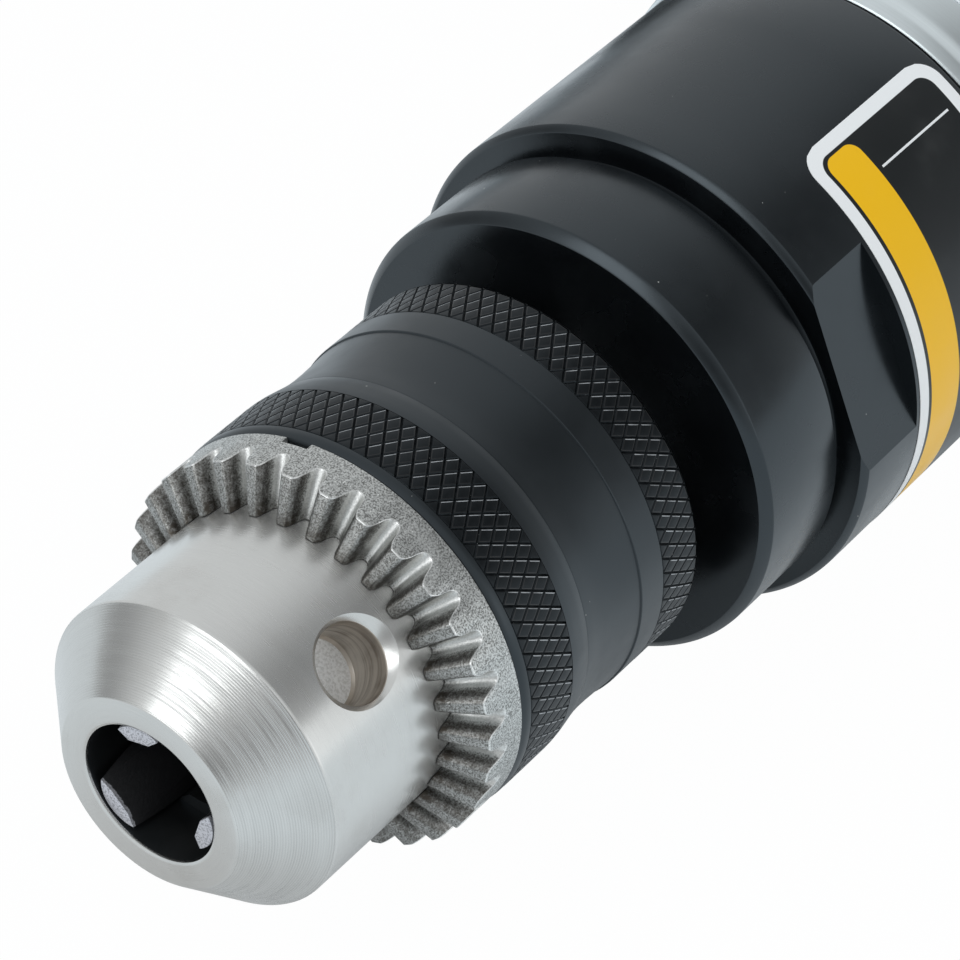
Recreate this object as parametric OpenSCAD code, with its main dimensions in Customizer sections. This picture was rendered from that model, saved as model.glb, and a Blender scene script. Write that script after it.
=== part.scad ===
// Pistol-grip air drill with a keyed three-jaw chuck, lying on its left side.
// X is the spindle axis: the chuck mouth is at the origin and the tool lies behind it on -X.
// The handle points along -Y, and +Z is the right side of the tool. All lengths are in millimetres.

/* [Chuck body] */
// Radius of the bare nose in front of the gear ring
nose_r = 14.5; // [14:0.1:15]
// Radius of the flat face round the mouth
face_r = 9; // [8.4:0.1:9.6]
// Length of the turned cone from the face to the nose
cone_len = 5.6; // [5:0.1:6.2]
// Radius of the mouth
mouth_r = 6.5; // [6.4:0.1:6.8]
// Depth of the mouth
mouth_depth = 6; // [5:0.5:8]
// Radius of the way for the drill shank behind the mouth
shank_r = 5.3; // [5:0.1:5.6]
// Wall between the way for the drill shank and the thread of the spindle
shank_web = 5.3; // [4.5:0.1:7]
// Length of the chuck from the mouth to its rear face
chuck_len = 49.3; // [48.8:0.1:49.8]
// Radius of the land that the sleeve turns on behind the nut
land_r = 15.4; // [15.2:0.1:15.7]
// Radius of the groove that the nut runs in
nut_groove_r = 10.6; // [10:0.1:11.2]
// Bevel on the turned edges of the chuck
edge = 0.6; // [0.3:0.1:0.9]

/* [Key holes] */
// Radius of the pilot holes for the chuck key
key_r = 3.2; // [3:0.05:3.4]
// Distance of the key holes behind the mouth
key_s = 13.2; // [13:0.1:13.4]
// Depth of a key hole from the nose surface
key_depth = 5.5; // [5:0.5:7.5]
// Width of the countersink round a key hole
key_bevel = 0.8; // [0.3:0.1:0.9]
// Turn of the first key hole from the top
key_turn = 47; // [40:1:54]

/* [Jaws] */
// Radius of a jaw blank
jaw_r = 3.1; // [3:0.05:3.15]
// Tilt of the jaws to the spindle axis
jaw_tilt = 16; // [15.5:0.1:16.5]
// Distance of the open jaw tips behind the mouth
jaw_tip_s = 0.9; // [0.6:0.1:1.4]
// Radius of the jaw axis at the tip
jaw_axis_r = 3.2; // [3.1:0.05:3.25]
// Rear end of the open jaws behind the mouth
jaw_back_s = 33; // [31:0.5:34]
// Grip radius of the open jaws
grip_open = 4.75; // [4.5:0.05:5]
// Grip radius of the closed jaws
grip_closed = 0.75; // [0.6:0.05:1]
// Gap between the flanks of the closed jaws
jaw_flank_gap = 0.25; // [0.15:0.05:0.4]

/* [Gear ring] */
// Outer radius of the bevel gear ring
gear_r = 18.6; // [18.3:0.05:18.7]
// Teeth on the gear ring
gear_teeth = 31; // [29:1:33]
// Angle of the tooth tips to the spindle axis
tip_cone = 70.8; // [69.4:0.2:71.8]
// Angle of the tooth roots to the spindle axis
root_cone = 64.8; // [63.4:0.2:66]
// Width of a tooth gap at the tips, in degrees
gap_tip = 8.4; // [7.8:0.2:9]
// Width of a tooth gap at its floor, in degrees
gap_root = 3.8; // [3.2:0.2:4.4]
// Turn of the first gap from straight up
gap_turn = 1.5; // [0:0.5:11]
// Rear face of the gear ring behind the mouth
gear_back_s = 24.4; // [24.2:0.1:24.7]
// Length of the spigot of the gear ring in the sleeve
gear_spigot = 1.2; // [0.8:0.1:1.3]
// Width of the assembly notch in the rear edge of the gear ring
notch_w = 2.6; // [2:0.1:3]
// Depth of the assembly notch
notch_depth = 0.7; // [0.4:0.1:0.9]
// Turn of the assembly notch from the top
notch_turn = -11; // [-20:1:0]

/* [Sleeve and nut] */
// Radius over the front knurl band
sleeve_front_r = 18.7; // [18.5:0.05:18.9]
// Radius at the narrow waist
waist_r = 18.1; // [17.9:0.05:18.3]
// Radius over the rear knurl band
sleeve_back_r = 18.45; // [18.3:0.05:18.6]
// Length of the front knurl band
knurl_front_len = 7.2; // [6.6:0.1:7.8]
// Length of the rear band from the line behind the waist to the rear face
rear_band_len = 8.1; // [7.4:0.1:8.8]
// Depth of the line behind the waist
waist_line = 0.12; // [0.06:0.02:0.2]
// Length of the sleeve past the rear face of the chuck
sleeve_overhang = 0.5; // [0.1:0.1:0.9]
// Outer radius of the split nut
nut_r = 16.7; // [16.6:0.05:16.8]
// Front face of the nut behind the mouth
nut_s = 25.9; // [25.9:0.1:26.4]
// Length of the nut
nut_len = 5.4; // [4.8:0.1:5.6]
// Cut between the halves of the nut
nut_split = 0.4; // [0.2:0.1:0.8]
// Length of the nut pocket in the sleeve from the gear ring
pocket_len = 10.6; // [10:0.1:11.2]

/* [Spindle] */
// Outside radius of the thread that carries the chuck
spindle_thread_r = 4.76; // [4.7:0.02:4.8]
// Depth of the thread in the chuck
spindle_thread_len = 13; // [11:0.5:14]
// Gap between the chuck and the gear case
neck_len = 5.7; // [5.3:0.1:6.1]
// Outer radius of the spacer between the chuck and the front bearing
spacer_r = 8.6; // [8.3:0.1:8.9]

/* [Gear case] */
// Depth of the clamping collar below the gear case
collar_step = 2.1; // [1.9:0.05:2.3]
// Bevel at the front of the collar
collar_bevel = 0.8; // [0.5:0.1:1.1]
// Length of the collar to the undercut
collar_len = 10.6; // [10.2:0.1:10.9]
// Depth of the undercut behind the collar
undercut = 1; // [0.6:0.1:1.3]
// Distance of the step from the front of the collar
step_len = 12; // [11.6:0.1:12.4]
// Radius of the gear case
case_r = 24; // [23.8:0.05:24.2]
// Rounding of the step and bevel of the rear rim
step_bevel = 0.5; // [0.3:0.1:0.7]
// Depth of the wrench flats
flat_depth = 1.8; // [1.5:0.1:2.1]
// Length of the wrench flats behind the step
flat_len = 8; // [7:0.2:9]
// Turn of the wrench flats from the top
flat_turn = 68; // [60:1:76]
// Length of the thread that holds the gear case on the housing
case_thread_len = 7.3; // [6.8:0.1:7.8]
// Wall of the gear case round the thread that holds it on the housing
case_wall = 1.7; // [1.5:0.05:1.9]

/* [Bearings] */
// Bore radius, outer radius and width of the front spindle bearing
spindle_front_brg = [6, 14, 8];
// Bore radius, outer radius and width of the rear spindle bearing
spindle_rear_brg = [7.5, 16, 9];
// Bore radius, outer radius and width of the front rotor bearing
rotor_front_brg = [5, 11, 6];
// Bore radius, outer radius and width of the rear rotor bearing
rotor_rear_brg = [4, 9.5, 6];
// Balls in a bearing
ball_count = 8; // [7:1:9]
// Length of the seat for the lip seal
seal_seat_len = 2.5; // [2.3:0.1:2.8]
// Outer radius of the lip seal
seal_r = 11.5; // [11:0.1:12]
// Distance between the two spindle bearings
bearing_spacing = 1; // [0.8:0.1:1.3]
// Thickness of the snap ring behind the rear spindle bearing
clip_t = 1.1; // [0.9:0.1:1.3]
// Depth of the snap ring in its groove
clip_depth = 0.9; // [0.6:0.1:1.1]
// Radial width of the snap ring
clip_w = 2.8; // [2.2:0.1:3.2]
// Length of the land behind the snap ring
clip_land = 1.1; // [0.9:0.1:1.3]

/* [Planetary gearing] */
// Wall of the fixed ring gear behind its teeth
ring_gear_wall = 1.67; // [1.4:0.01:2.2]
// Teeth on the rotor pinion
sun_teeth = 12;
// Teeth on a planet gear
planet_teeth = 21;
// Pressure angle of the teeth
pressure_angle = 25; // [24:0.5:26]
// Play between the teeth at the pitch circle
backlash = 0.12; // [0.1:0.01:0.16]
// Face width of the planet gears
planet_w = 5.9; // [5.5:0.1:6.3]
// Radius of a planet pin
planet_pin_r = 2.2; // [2:0.1:2.4]
// Wall of the bush in a planet gear
planet_bush_t = 1.1; // [0.9:0.1:1.3]
// Thickness of the planet carrier
carrier_t = 3.4; // [3.1:0.1:3.7]
// Gap between the planet carrier and the tips of the ring gear
carrier_gap = 1.4; // [1.2:0.1:2]
// Thickness of the plate that keeps the planet gears on their pins
retainer_t = 1; // [0.8:0.1:1.2]
// Ledge between the housing thread and the seat of the fixed ring gear
ring_gear_ledge = 2.3; // [2.1:0.05:2.5]
// Length of the fixed ring gear
ring_gear_len = 9.1; // [8.9:0.1:9.3]
// Length of the carrier in front of the ring gear
ring_gear_step = 2; // [1.8:0.1:2.2]

/* [Air motor] */
// Gap between the rotor and the cylinder where they are closest
rotor_gap = 0.2; // [0.15:0.05:0.4]
// Length of the cylinder
cylinder_len = 47; // [45:0.5:49]
// Radial gap of the cylinder and its end plates in the housing
motor_gap = 0.1; // [0.04:0.02:0.2]
// Mean wall of the cylinder
cylinder_wall = 4.5; // [4.3:0.05:4.6]
// Offset of the cylinder bore from the rotor axis
cylinder_offset = 1.6; // [1.4:0.05:1.65]
// Number of vanes
vane_count = 5; // [4:1:6]
// Thickness of a vane
vane_t = 1.8; // [1.5:0.1:2.1]
// Depth of a vane slot in the rotor
vane_depth = 6; // [5:0.2:6.6]
// Thickness of the front end plate
front_plate_t = 8.4; // [8:0.1:8.8]
// Thickness of the rear end plate
rear_plate_t = 8.2; // [7.8:0.1:8.6]
// Radius of the dowel that lines up the end plates
dowel_r = 0.8; // [0.6:0.1:0.9]
// Width of an exhaust slot in the cylinder
port_w = 3; // [2:0.2:4]
// Length of an exhaust slot round the cylinder
port_len = 16; // [12:1:18]
// Distance between the exhaust slots
port_pitch = 6; // [5:0.2:7]
// Number of exhaust slots
port_count = 5; // [3:1:5]

/* [Housing] */
// Radius of the motor barrel
barrel_r = 24.6; // [24.4:0.1:25.2]
// Wall of the threaded spigot round the bore for the motor
spigot_wall = 1.9; // [1.7:0.02:1.92]
// Length of the barrel behind the motor
barrel_tail = 30.3; // [28:0.1:33]
// Rounding of the rear end
barrel_round = 14; // [10:0.5:17]
// Bevel at the front edge of the barrel
barrel_bevel = 0.8; // [0.5:0.1:1.1]
// Radius of the air chamber behind the motor
chamber_r = 14; // [12:0.5:16]
// Length of the air chamber behind the motor
chamber_len = 11; // [10:0.5:13]

/* [Handle] */
// Length of the handle below the spindle axis
handle_len = 134; // [130:1:140]
// Centre of the handle at the spindle axis, behind the motor
handle_set = 7.5; // [6.9:0.2:8.1]
// Rake of the handle
handle_rake = 5; // [4.6:0.1:5.4]
// Depth of the handle from front to back
handle_depth = 43; // [42:0.5:44]
// Width of the handle
handle_width = 33; // [32:0.5:35]
// Radius of the side passages for the exhaust air
exhaust_r = 2.4; // [2:0.1:2.6]
// Distance of the exhaust passages from the middle of the handle
exhaust_side = 9.6; // [9.4:0.1:9.8]
// Start of the exhaust passages in the motor bore, in front of its rear end
exhaust_set = 5.7; // [5.2:0.1:6.2]
// End of the exhaust passages in front of the middle of the exhaust
exhaust_aim = 0.55; // [0:0.05:1]
// Radius of the air passage from the inlet to the throttle
feed_r = 4.2; // [3.8:0.1:4.6]
// Radius of the air passage from the throttle to the motor
supply_r = 3.1; // [2.8:0.1:3.3]

/* [Throttle] */
// Distance of the throttle below the spindle axis
throttle_drop = 44; // [43:0.5:45]
// Front face of the rod bush in front of the rear end of the motor
bush_set = 9.3; // [8.9:0.2:9.7]
// Length of the rod bush
bush_len = 9.6; // [9:0.2:10]
// Outer radius of the rod bush
bush_r = 4.6; // [4.4:0.1:4.8]
// Radius of the throttle bore
throttle_r = 6; // [5.9:0.05:6.1]
// Length of the space between the bush and the valve seat
supply_len = 7.5; // [7:0.1:8]
// Length of the valve seat
seat_len = 4; // [3.6:0.1:4.4]
// Radius of the hole in the valve seat
seat_hole_r = 3.4; // [3.2:0.1:3.6]
// Radius of the valve head
valve_r = 5; // [4.8:0.1:5.2]
// Thickness of the valve head
valve_t = 3.4; // [3:0.1:3.8]
// Radius of the valve stem
stem_r = 1.8; // [1.6:0.1:2]
// Length of the chamber behind the valve seat
valve_chamber_len = 13.5; // [13:0.1:14]
// Radius of the valve cap
cap_r = 7.5; // [7.2:0.1:7.8]
// Length of the valve cap
cap_len = 8; // [7.6:0.1:8.4]
// Half of the width over the flats of the socket in the valve cap
cap_socket_half = 2.5; // [2:0.1:3]
// Mean radius of the valve spring
spring_r = 3.6; // [3.4:0.1:3.9]
// Radius of the wire of the valve spring
spring_wire_r = 0.45; // [0.4:0.05:0.5]
// Turns of the valve spring
spring_turns = 4; // [3:1:5]

/* [Trigger] */
// Radius of the trigger rod
rod_r = 2.5; // [2.3:0.1:2.7]
// Travel of the trigger
trigger_travel = 5; // [4.4:0.1:5.2]
// Gap between the pressed trigger and the rod bush
trigger_stand = 3.4; // [2.8:0.1:4]
// Depth of the trigger from front to back
trigger_depth = 11; // [10.5:0.5:11.5]
// Width of the trigger
trigger_width = 14; // [13:0.5:16]
// Height of the trigger
trigger_height = 27; // [25:0.5:28]
// Rounding of the trigger
trigger_round = 4; // [3:0.5:5]
// Radius of the finger hollow in the trigger
finger_r = 22; // [20:0.5:25]
// Depth of the finger hollow in the trigger
finger_depth = 2.4; // [1.5:0.1:3]
// Radius of the pin that holds the rod in the trigger
trigger_pin_r = 1; // [0.8:0.1:1.2]

/* [Air inlet and exhaust] */
// Distance of the air inlet behind the centre of the handle at the spindle axis
inlet_set = 0.8; // [0.3:0.1:1.3]
// Half of the width over the flats of the inlet bushing
inlet_hex_half = 10.3; // [10:0.1:10.6]
// Length of the hexagon below the handle
inlet_hex_len = 12; // [10:0.5:14]
// Radius of the thread of the inlet bushing in the handle
inlet_thread_r = 8.6; // [8.3:0.1:8.9]
// Length of the thread of the inlet bushing in the handle
inlet_thread_len = 14; // [12:0.5:15]
// Radius of the hose thread in the inlet bushing
hose_thread_r = 5.8; // [5.6:0.05:6]
// Depth of the hose thread in the inlet bushing
hose_thread_len = 15; // [13:0.5:17]
// Thickness of the inlet screen
screen_t = 0.8; // [0.6:0.1:1]
// Radius of a hole in the inlet screen
screen_hole_r = 0.7; // [0.6:0.05:0.8]
// Section radius of the sealing rings
ring_section_r = 0.9; // [0.8:0.05:1]
// Distance of the exhaust behind the air inlet
deflector_set = 19; // [18.6:0.1:19.4]
// Length of the exhaust deflector across the tool
deflector_w = 29; // [28:0.2:29.4]
// Width of the exhaust deflector from front to back
deflector_d = 11; // [10.6:0.1:11.4]
// Thickness of the exhaust deflector
deflector_t = 3; // [2.5:0.1:3.5]
// Corner radius of the exhaust deflector
deflector_round = 3; // [2:0.2:3.6]
// Width of a slot in the exhaust deflector
slot_w = 1.8; // [1.4:0.1:2.2]
// Length of a slot in the exhaust deflector
slot_len = 6; // [5:0.2:6.6]
// Depth of the muffler pocket
muffler_depth = 9; // [7:0.5:11]
// Radius of a deflector screw head
screw_head_r = 2.1; // [1.9:0.1:2.3]
// Height of a deflector screw head
screw_head_t = 1.4; // [1.2:0.1:1.6]
// Radius of a deflector screw
screw_r = 1.2; // [1:0.1:1.3]
// Length of a deflector screw in the handle
screw_len = 6; // [5:0.5:7]

/* [Fits] */
// Radial clearance of a shaft that turns or slides in its bore
run_gap = 0.05; // [0.04:0.01:0.08]
// Radial clearance of a part that is pressed or screwed into its seat
seat_gap = 0.02; // [0.01:0.01:0.03]
// Clearance along the axis between parts that turn past each other
face_gap = 0.3; // [0.25:0.05:0.35]
// Clearance along the axis between parts that are stacked
stack_gap = 0.1; // [0.05:0.01:0.12]

/* [Hidden] */
// Sub-parts of the drill, one STEP file each
// Sub-part to build
$fn = 64;
// Facets round a section of a blended form
blend_fn = 32;
// Extra length of a cut beyond the face it starts from
overrun = 1;
jaw_count = 3;
planet_count = 3;
jaw_turn = key_turn + 180 / jaw_count;
jaw_reach_r = jaw_r / cos(jaw_tilt);
flank_angle = 180 / jaw_count;
jaw_land_half = grip_closed * tan(flank_angle) - jaw_flank_gap / 2 / cos(flank_angle);
nut_groove_s = nut_s - face_gap;
nut_groove_len = nut_len + 2 * face_gap;
spindle_thread_s = chuck_len - spindle_thread_len;
shank_depth = spindle_thread_s - shank_web;
// Sleeve, from front to back
knurl_back_s = gear_back_s + knurl_front_len;
sleeve_back_s = chuck_len + sleeve_overhang;
waist_line_s = sleeve_back_s - rear_band_len;
waist_share = 0.495;
waist_s = knurl_back_s + (waist_line_s - knurl_back_s) * waist_share;
notch_count = 2;
// Flat part of the floor of a bevel gap, and height of its rounded corners
gap_floor_share = 0.6;
gap_fillet_share = 0.22;

// Radius of the outermost line of the jaws at a distance s behind the mouth
function jaw_line_r(s) = jaw_axis_r + (s - jaw_tip_s) * tan(jaw_tilt) + jaw_reach_r;
// Distance behind the mouth of a bevel cone at radius r
function cone_s(r, angle) = key_s + r / tan(angle);

// Radii of the gear case and the motor, from outside to inside
collar_r = case_r - collar_step;
flat_half = case_r - flat_depth;
case_thread_r = case_r - case_wall;
ring_gear_r = case_thread_r - ring_gear_ledge;
motor_bore_r = case_thread_r - spigot_wall;
cylinder_r = motor_bore_r - motor_gap;
cylinder_bore_r = cylinder_r - cylinder_wall;
rotor_r = cylinder_bore_r - cylinder_offset - rotor_gap;

// Positions along the spindle, from front to back
case_front_s = chuck_len + neck_len;
step_s = case_front_s + step_len;
spindle_front_brg_s = case_front_s + seal_seat_len;
spindle_rear_brg_s = spindle_front_brg_s + spindle_front_brg[2] + bearing_spacing;
clip_s = spindle_rear_brg_s + spindle_rear_brg[2] + stack_gap;
carrier_s = clip_s + clip_t + clip_land;
planet_s = carrier_s + carrier_t + face_gap;
retainer_s = planet_s + planet_w + face_gap;
ring_gear_s = carrier_s + ring_gear_step;
case_thread_s = ring_gear_s + ring_gear_len;
case_back_s = case_thread_s + case_thread_len;
front_plate_s = case_thread_s + stack_gap;
rotor_front_brg_s = front_plate_s + front_plate_t - rotor_front_brg[2] - stack_gap;
cylinder_s = front_plate_s + front_plate_t;
rear_plate_s = cylinder_s + cylinder_len;
rotor_rear_brg_s = rear_plate_s + rear_plate_t - rotor_rear_brg[2] - stack_gap;
motor_back_s = rear_plate_s + rear_plate_t + stack_gap;
barrel_back_s = motor_back_s + barrel_tail;
handle_s = motor_back_s + handle_set;
exhaust_s = motor_back_s - exhaust_set;
bush_s = motor_back_s - bush_set;
inlet_s = handle_s + inlet_set;
deflector_s = inlet_s + deflector_set;

// Shares of a bearing section
race_share = 0.27;
ball_share = 0.27;
ball_cage_share = 0.08;
ball_cage_length_share = 0.5;
ball_gap = 0.06;

// Planetary gearing
addendum_share = 0.85;
dedendum_share = 1.2;
ring_teeth = sun_teeth + 2 * planet_teeth;
tooth_module = (ring_gear_r - ring_gear_wall) / (ring_teeth / 2 + dedendum_share);
sun_pitch_r = tooth_module * sun_teeth / 2;
planet_pitch_r = tooth_module * planet_teeth / 2;
ring_pitch_r = tooth_module * ring_teeth / 2;
planet_orbit_r = sun_pitch_r + planet_pitch_r;
ring_tip_r = ring_pitch_r - addendum_share * tooth_module;
carrier_r = ring_tip_r - carrier_gap;
flank_steps = 4;

function involute(angle) = tan(angle) - angle * PI / 180;
// Half of the angle of a tooth at radius r, for base radius rb and half angle at the pitch circle
function tooth_half(r, rb, half) =
    half + (involute(pressure_angle) - involute(acos(min(1, rb / r)))) * 180 / PI;
// Outline of a toothed wheel
function wheel_points(teeth, tip_r, root_r, half) =
    let (rb = tooth_module * teeth / 2 * cos(pressure_angle), start = max(rb, root_r))
    [for (i = [0 : teeth - 1])
        let (mid = i * 360 / teeth)
        for (side = [-1, 1])
            for (k = [0 : flank_steps])
                let (
                    at = side < 0 ? k : flank_steps - k,
                    r = at == 0 ? root_r : start + (tip_r - start) * (at - 1) / (flank_steps - 1),
                    turn = mid + side * tooth_half(max(r, start), rb, half)
                )
                [r * cos(turn), r * sin(turn)]];
// Half angle of a tooth at the pitch circle, thinned by the play
function thin_half(teeth) = 90 / teeth - backlash / (tooth_module * teeth) * 180 / PI;
// Half angle of a tooth gap at the pitch circle, widened by the play
function wide_half(teeth) = 90 / teeth + backlash / (tooth_module * teeth) * 180 / PI;

// Air motor
rotor_body_s = cylinder_s + face_gap;
rotor_body_len = cylinder_len - 2 * face_gap;
vane_inset = 0.2;
slot_gap = 0.05;
dowel_orbit_r = (cylinder_r + cylinder_bore_r - cylinder_offset) / 2;
dowel_len_share = 0.5;
kidney_r = 2.2;
kidney_count = 3;
kidney_spread = 26;
plate_hole_gap = 0.4;

// Throttle, from front to back
supply_s = bush_s + bush_len;
valve_seat_s = supply_s + supply_len;
valve_s = valve_seat_s + seat_len + face_gap;
cap_s = valve_seat_s + seat_len + valve_chamber_len;
rod_back_s = supply_s + supply_len / 4;
stem_front_s = rod_back_s + face_gap;
trigger_back_s = bush_s - trigger_travel - trigger_stand;
trigger_s = trigger_back_s - trigger_depth;
rod_socket_share = 0.6;
rod_front_s = trigger_back_s - trigger_depth * rod_socket_share;
trigger_pin_s = rod_front_s + 2 * trigger_pin_r;
trigger_pin_len_share = 0.86;
spring_s = valve_s + valve_t + spring_wire_r + stack_gap;
spring_len = cap_s - spring_s - spring_wire_r - stack_gap;
spring_steps = 14;
spring_sides = 6;
socket_depth_share = 0.5;

// Handle sections from top to bottom: share of the length, of the depth and of the width
handle_section_shares = [
    [0.06, 1.14, 1.1], [0.13, 1.07, 1.05], [0.22, 1.02, 1.02], [0.34, 0.99, 0.99], [0.48, 0.955, 0.965],
    [0.62, 0.925, 0.945], [0.76, 0.92, 0.95], [0.88, 0.945, 0.98], [0.96, 0.98, 1.03], [1, 1, 1.06],
];
// Exponent that squares the oval of a handle section
handle_square_share = 0.84;
exhaust_start_share = 0.8;
exhaust_start = motor_bore_r * exhaust_start_share;
exhaust_drop = handle_len - muffler_depth / 2 - exhaust_start;
exhaust_lean = atan((deflector_s - exhaust_aim - exhaust_s) / exhaust_drop);
exhaust_len = exhaust_drop / cos(exhaust_lean);

// Exhaust and inlet
muffler_wall = 2;
muffler_side_wall = 4;
muffler_gap = 0.3;
muffler_half_w = deflector_w / 2 - muffler_side_wall;
muffler_half_d = deflector_d / 2 - muffler_wall;
slot_count = 4;
screw_pitch_share = 0.86;
screen_ring_count = 6;
screen_r = inlet_thread_r - 2 * seat_gap;
inlet_floor = handle_len - inlet_thread_len;
inlet_chamber_len = screen_t + stack_gap + face_gap;
feed_drop = inlet_floor - throttle_drop;
feed_lean = atan((cap_s - valve_chamber_len / 2 - inlet_s) / feed_drop);
feed_len = feed_drop / cos(feed_lean);
inlet_through_share = 0.72;

// Turn local coordinates, z backwards along the spindle and x up, into the frame of the drill
module spindle_frame() {
    rotate([0, -90, 0]) children();
}

// Coordinates along the handle: y backwards along the spindle and z down the handle
module handle_frame() {
    spindle_frame() rotate([90, 0, 0]) children();
}

// Inclined cylinder of a jaw from one end to the other, both measured along the jaw from its tip
module jaw_cylinder(r, from, to) {
    translate([jaw_axis_r, 0, jaw_tip_s]) rotate([0, jaw_tilt, 0])
        translate([0, 0, from]) cylinder(r = r, h = to - from);
}

module chuck_body() {
    color("#c8c8c6") spindle_frame() difference() {
        rotate_extrude() polygon([
            [0, shank_depth], [shank_r, shank_depth], [shank_r, mouth_depth], [mouth_r, mouth_depth],
            [mouth_r, 0], [face_r, 0], [nose_r, cone_len],
            [nose_r, nut_groove_s], [nut_groove_r, nut_groove_s],
            [nut_groove_r, nut_groove_s + nut_groove_len], [land_r, nut_groove_s + nut_groove_len],
            [land_r, chuck_len - edge], [land_r - edge, chuck_len],
            [spindle_thread_r + seat_gap, chuck_len], [spindle_thread_r + seat_gap, spindle_thread_s],
            [0, spindle_thread_s],
        ]);
        for (i = [0 : jaw_count - 1]) {
            rotate([0, 0, jaw_turn + i * 360 / jaw_count])
                jaw_cylinder(jaw_r + run_gap, -mouth_r, 2 * chuck_len);
            rotate([0, 0, key_turn + i * 360 / jaw_count]) translate([nose_r, 0, key_s]) rotate([0, 90, 0]) {
                translate([0, 0, -key_depth]) cylinder(r = key_r, h = key_depth + overrun);
                translate([0, 0, -key_bevel])
                    cylinder(r1 = key_r, r2 = key_r + key_bevel + overrun, h = key_bevel + overrun);
            }
        }
    }
}

module chuck_jaw(i) {
    color("#dadad8") spindle_frame() rotate([0, 0, jaw_turn + i * 360 / jaw_count]) intersection() {
        jaw_cylinder(jaw_r, -mouth_r, chuck_len);
        translate([0, 0, jaw_tip_s]) linear_extrude(height = jaw_back_s - jaw_tip_s) polygon([
            [grip_open, -jaw_land_half],
            [sleeve_front_r, -jaw_land_half - (sleeve_front_r - grip_open) * tan(flank_angle)],
            [sleeve_front_r, jaw_land_half + (sleeve_front_r - grip_open) * tan(flank_angle)],
            [grip_open, jaw_land_half],
        ]);
    }
}

module chuck_jaw_1() {
    chuck_jaw(0);
}

module chuck_jaw_2() {
    chuck_jaw(1);
}

module chuck_jaw_3() {
    chuck_jaw(2);
}

module chuck_nut() {
    color("#8f8f8b") spindle_frame() difference() {
        rotate_extrude() polygon([
            [jaw_line_r(nut_s) + face_gap, nut_s], [nut_r, nut_s], [nut_r, nut_s + nut_len],
            [jaw_line_r(nut_s + nut_len) + face_gap, nut_s + nut_len],
        ]);
        translate([-nut_r - overrun, -nut_split / 2, nut_s - overrun])
            cube([2 * (nut_r + overrun), nut_split, nut_len + 2 * overrun]);
    }
}

// Point of a bevel tooth gap: t along the cone from its apex, at a turn and a cone angle
function bevel_point(t, turn, angle) =
    [t * sin(angle) * cos(turn), t * sin(angle) * sin(turn), key_s + t * cos(angle)];

// Space between two bevel teeth, narrowing to the apex on the axis of the key holes
module bevel_gap() {
    outer_t = gear_r / sin(root_cone) + overrun;
    inner_t = nose_r / sin(tip_cone) - overrun;
    over_cone = 2 * tip_cone - root_cone;
    fillet_cone = root_cone + (tip_cone - root_cone) * gap_fillet_share;
    floor_half = gap_root * gap_floor_share / 2;
    fillet_half = (gap_root + (gap_tip - gap_root) * gap_fillet_share) / 2;
    over_half = gap_tip - gap_root / 2;
    section = [
        [-floor_half, root_cone], [floor_half, root_cone], [fillet_half, fillet_cone],
        [over_half, over_cone], [-over_half, over_cone], [-fillet_half, fillet_cone],
    ];
    sides = len(section);
    polyhedron(
        points = [for (t = [inner_t, outer_t]) for (p = section) bevel_point(t, p[0], p[1])],
        faces = concat(
            [[for (i = [0 : sides - 1]) sides - 1 - i], [for (i = [0 : sides - 1]) sides + i]],
            [for (i = [0 : sides - 1]) [i, (i + 1) % sides, sides + (i + 1) % sides, sides + i]]
        )
    );
}

module chuck_gear_ring() {
    bore_r = nose_r + run_gap;
    color("#87877f") spindle_frame() difference() {
        rotate_extrude() polygon([
            [bore_r, cone_s(bore_r, tip_cone)], [gear_r, cone_s(gear_r, tip_cone)], [gear_r, gear_back_s],
            [nut_r, gear_back_s], [nut_r, gear_back_s + gear_spigot], [bore_r, gear_back_s + gear_spigot],
        ]);
        for (i = [0 : gear_teeth - 1]) rotate([0, 0, gap_turn + i * 360 / gear_teeth]) bevel_gap();
        for (i = [0 : notch_count - 1]) rotate([0, 0, notch_turn + i * 360 / notch_count])
            translate([gear_r - notch_depth, -notch_w / 2, gear_back_s - notch_depth])
                cube([notch_depth + overrun, notch_w, notch_depth + overrun]);
    }
}

module chuck_sleeve() {
    pocket_back_s = gear_back_s + pocket_len;
    color("#282b2e") spindle_frame() rotate_extrude() polygon([
        [sleeve_front_r - edge, gear_back_s], [sleeve_front_r, gear_back_s + edge],
        [sleeve_front_r, knurl_back_s], [waist_r, waist_s],
        [sleeve_back_r - waist_line, waist_line_s], [sleeve_back_r, waist_line_s],
        [sleeve_back_r, sleeve_back_s - edge], [sleeve_back_r - edge, sleeve_back_s],
        [land_r + run_gap, sleeve_back_s], [land_r + run_gap, pocket_back_s],
        [nut_r + seat_gap, pocket_back_s], [nut_r + seat_gap, gear_back_s],
    ]);
}

module spindle() {
    journal_r = spindle_front_brg[0] - seat_gap;
    rear_journal_r = spindle_rear_brg[0] - seat_gap;
    journal_s = spindle_front_brg_s + spindle_front_brg[2] + stack_gap;
    color("#b4b4b0") spindle_frame() difference() {
        rotate_extrude() polygon([
            [0, spindle_thread_s + stack_gap], [spindle_thread_r - edge, spindle_thread_s + stack_gap],
            [spindle_thread_r, spindle_thread_s + stack_gap + edge], [spindle_thread_r, chuck_len + edge],
            [journal_r, chuck_len + edge], [journal_r, journal_s], [rear_journal_r, journal_s],
            [rear_journal_r, carrier_s], [carrier_r, carrier_s], [carrier_r, carrier_s + carrier_t],
            [0, carrier_s + carrier_t],
        ]);
        for (i = [0 : planet_count - 1]) rotate([0, 0, i * 360 / planet_count])
            translate([planet_orbit_r, 0, carrier_s - overrun])
                cylinder(r = planet_pin_r + seat_gap, h = carrier_t + 2 * overrun);
    }
}

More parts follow.
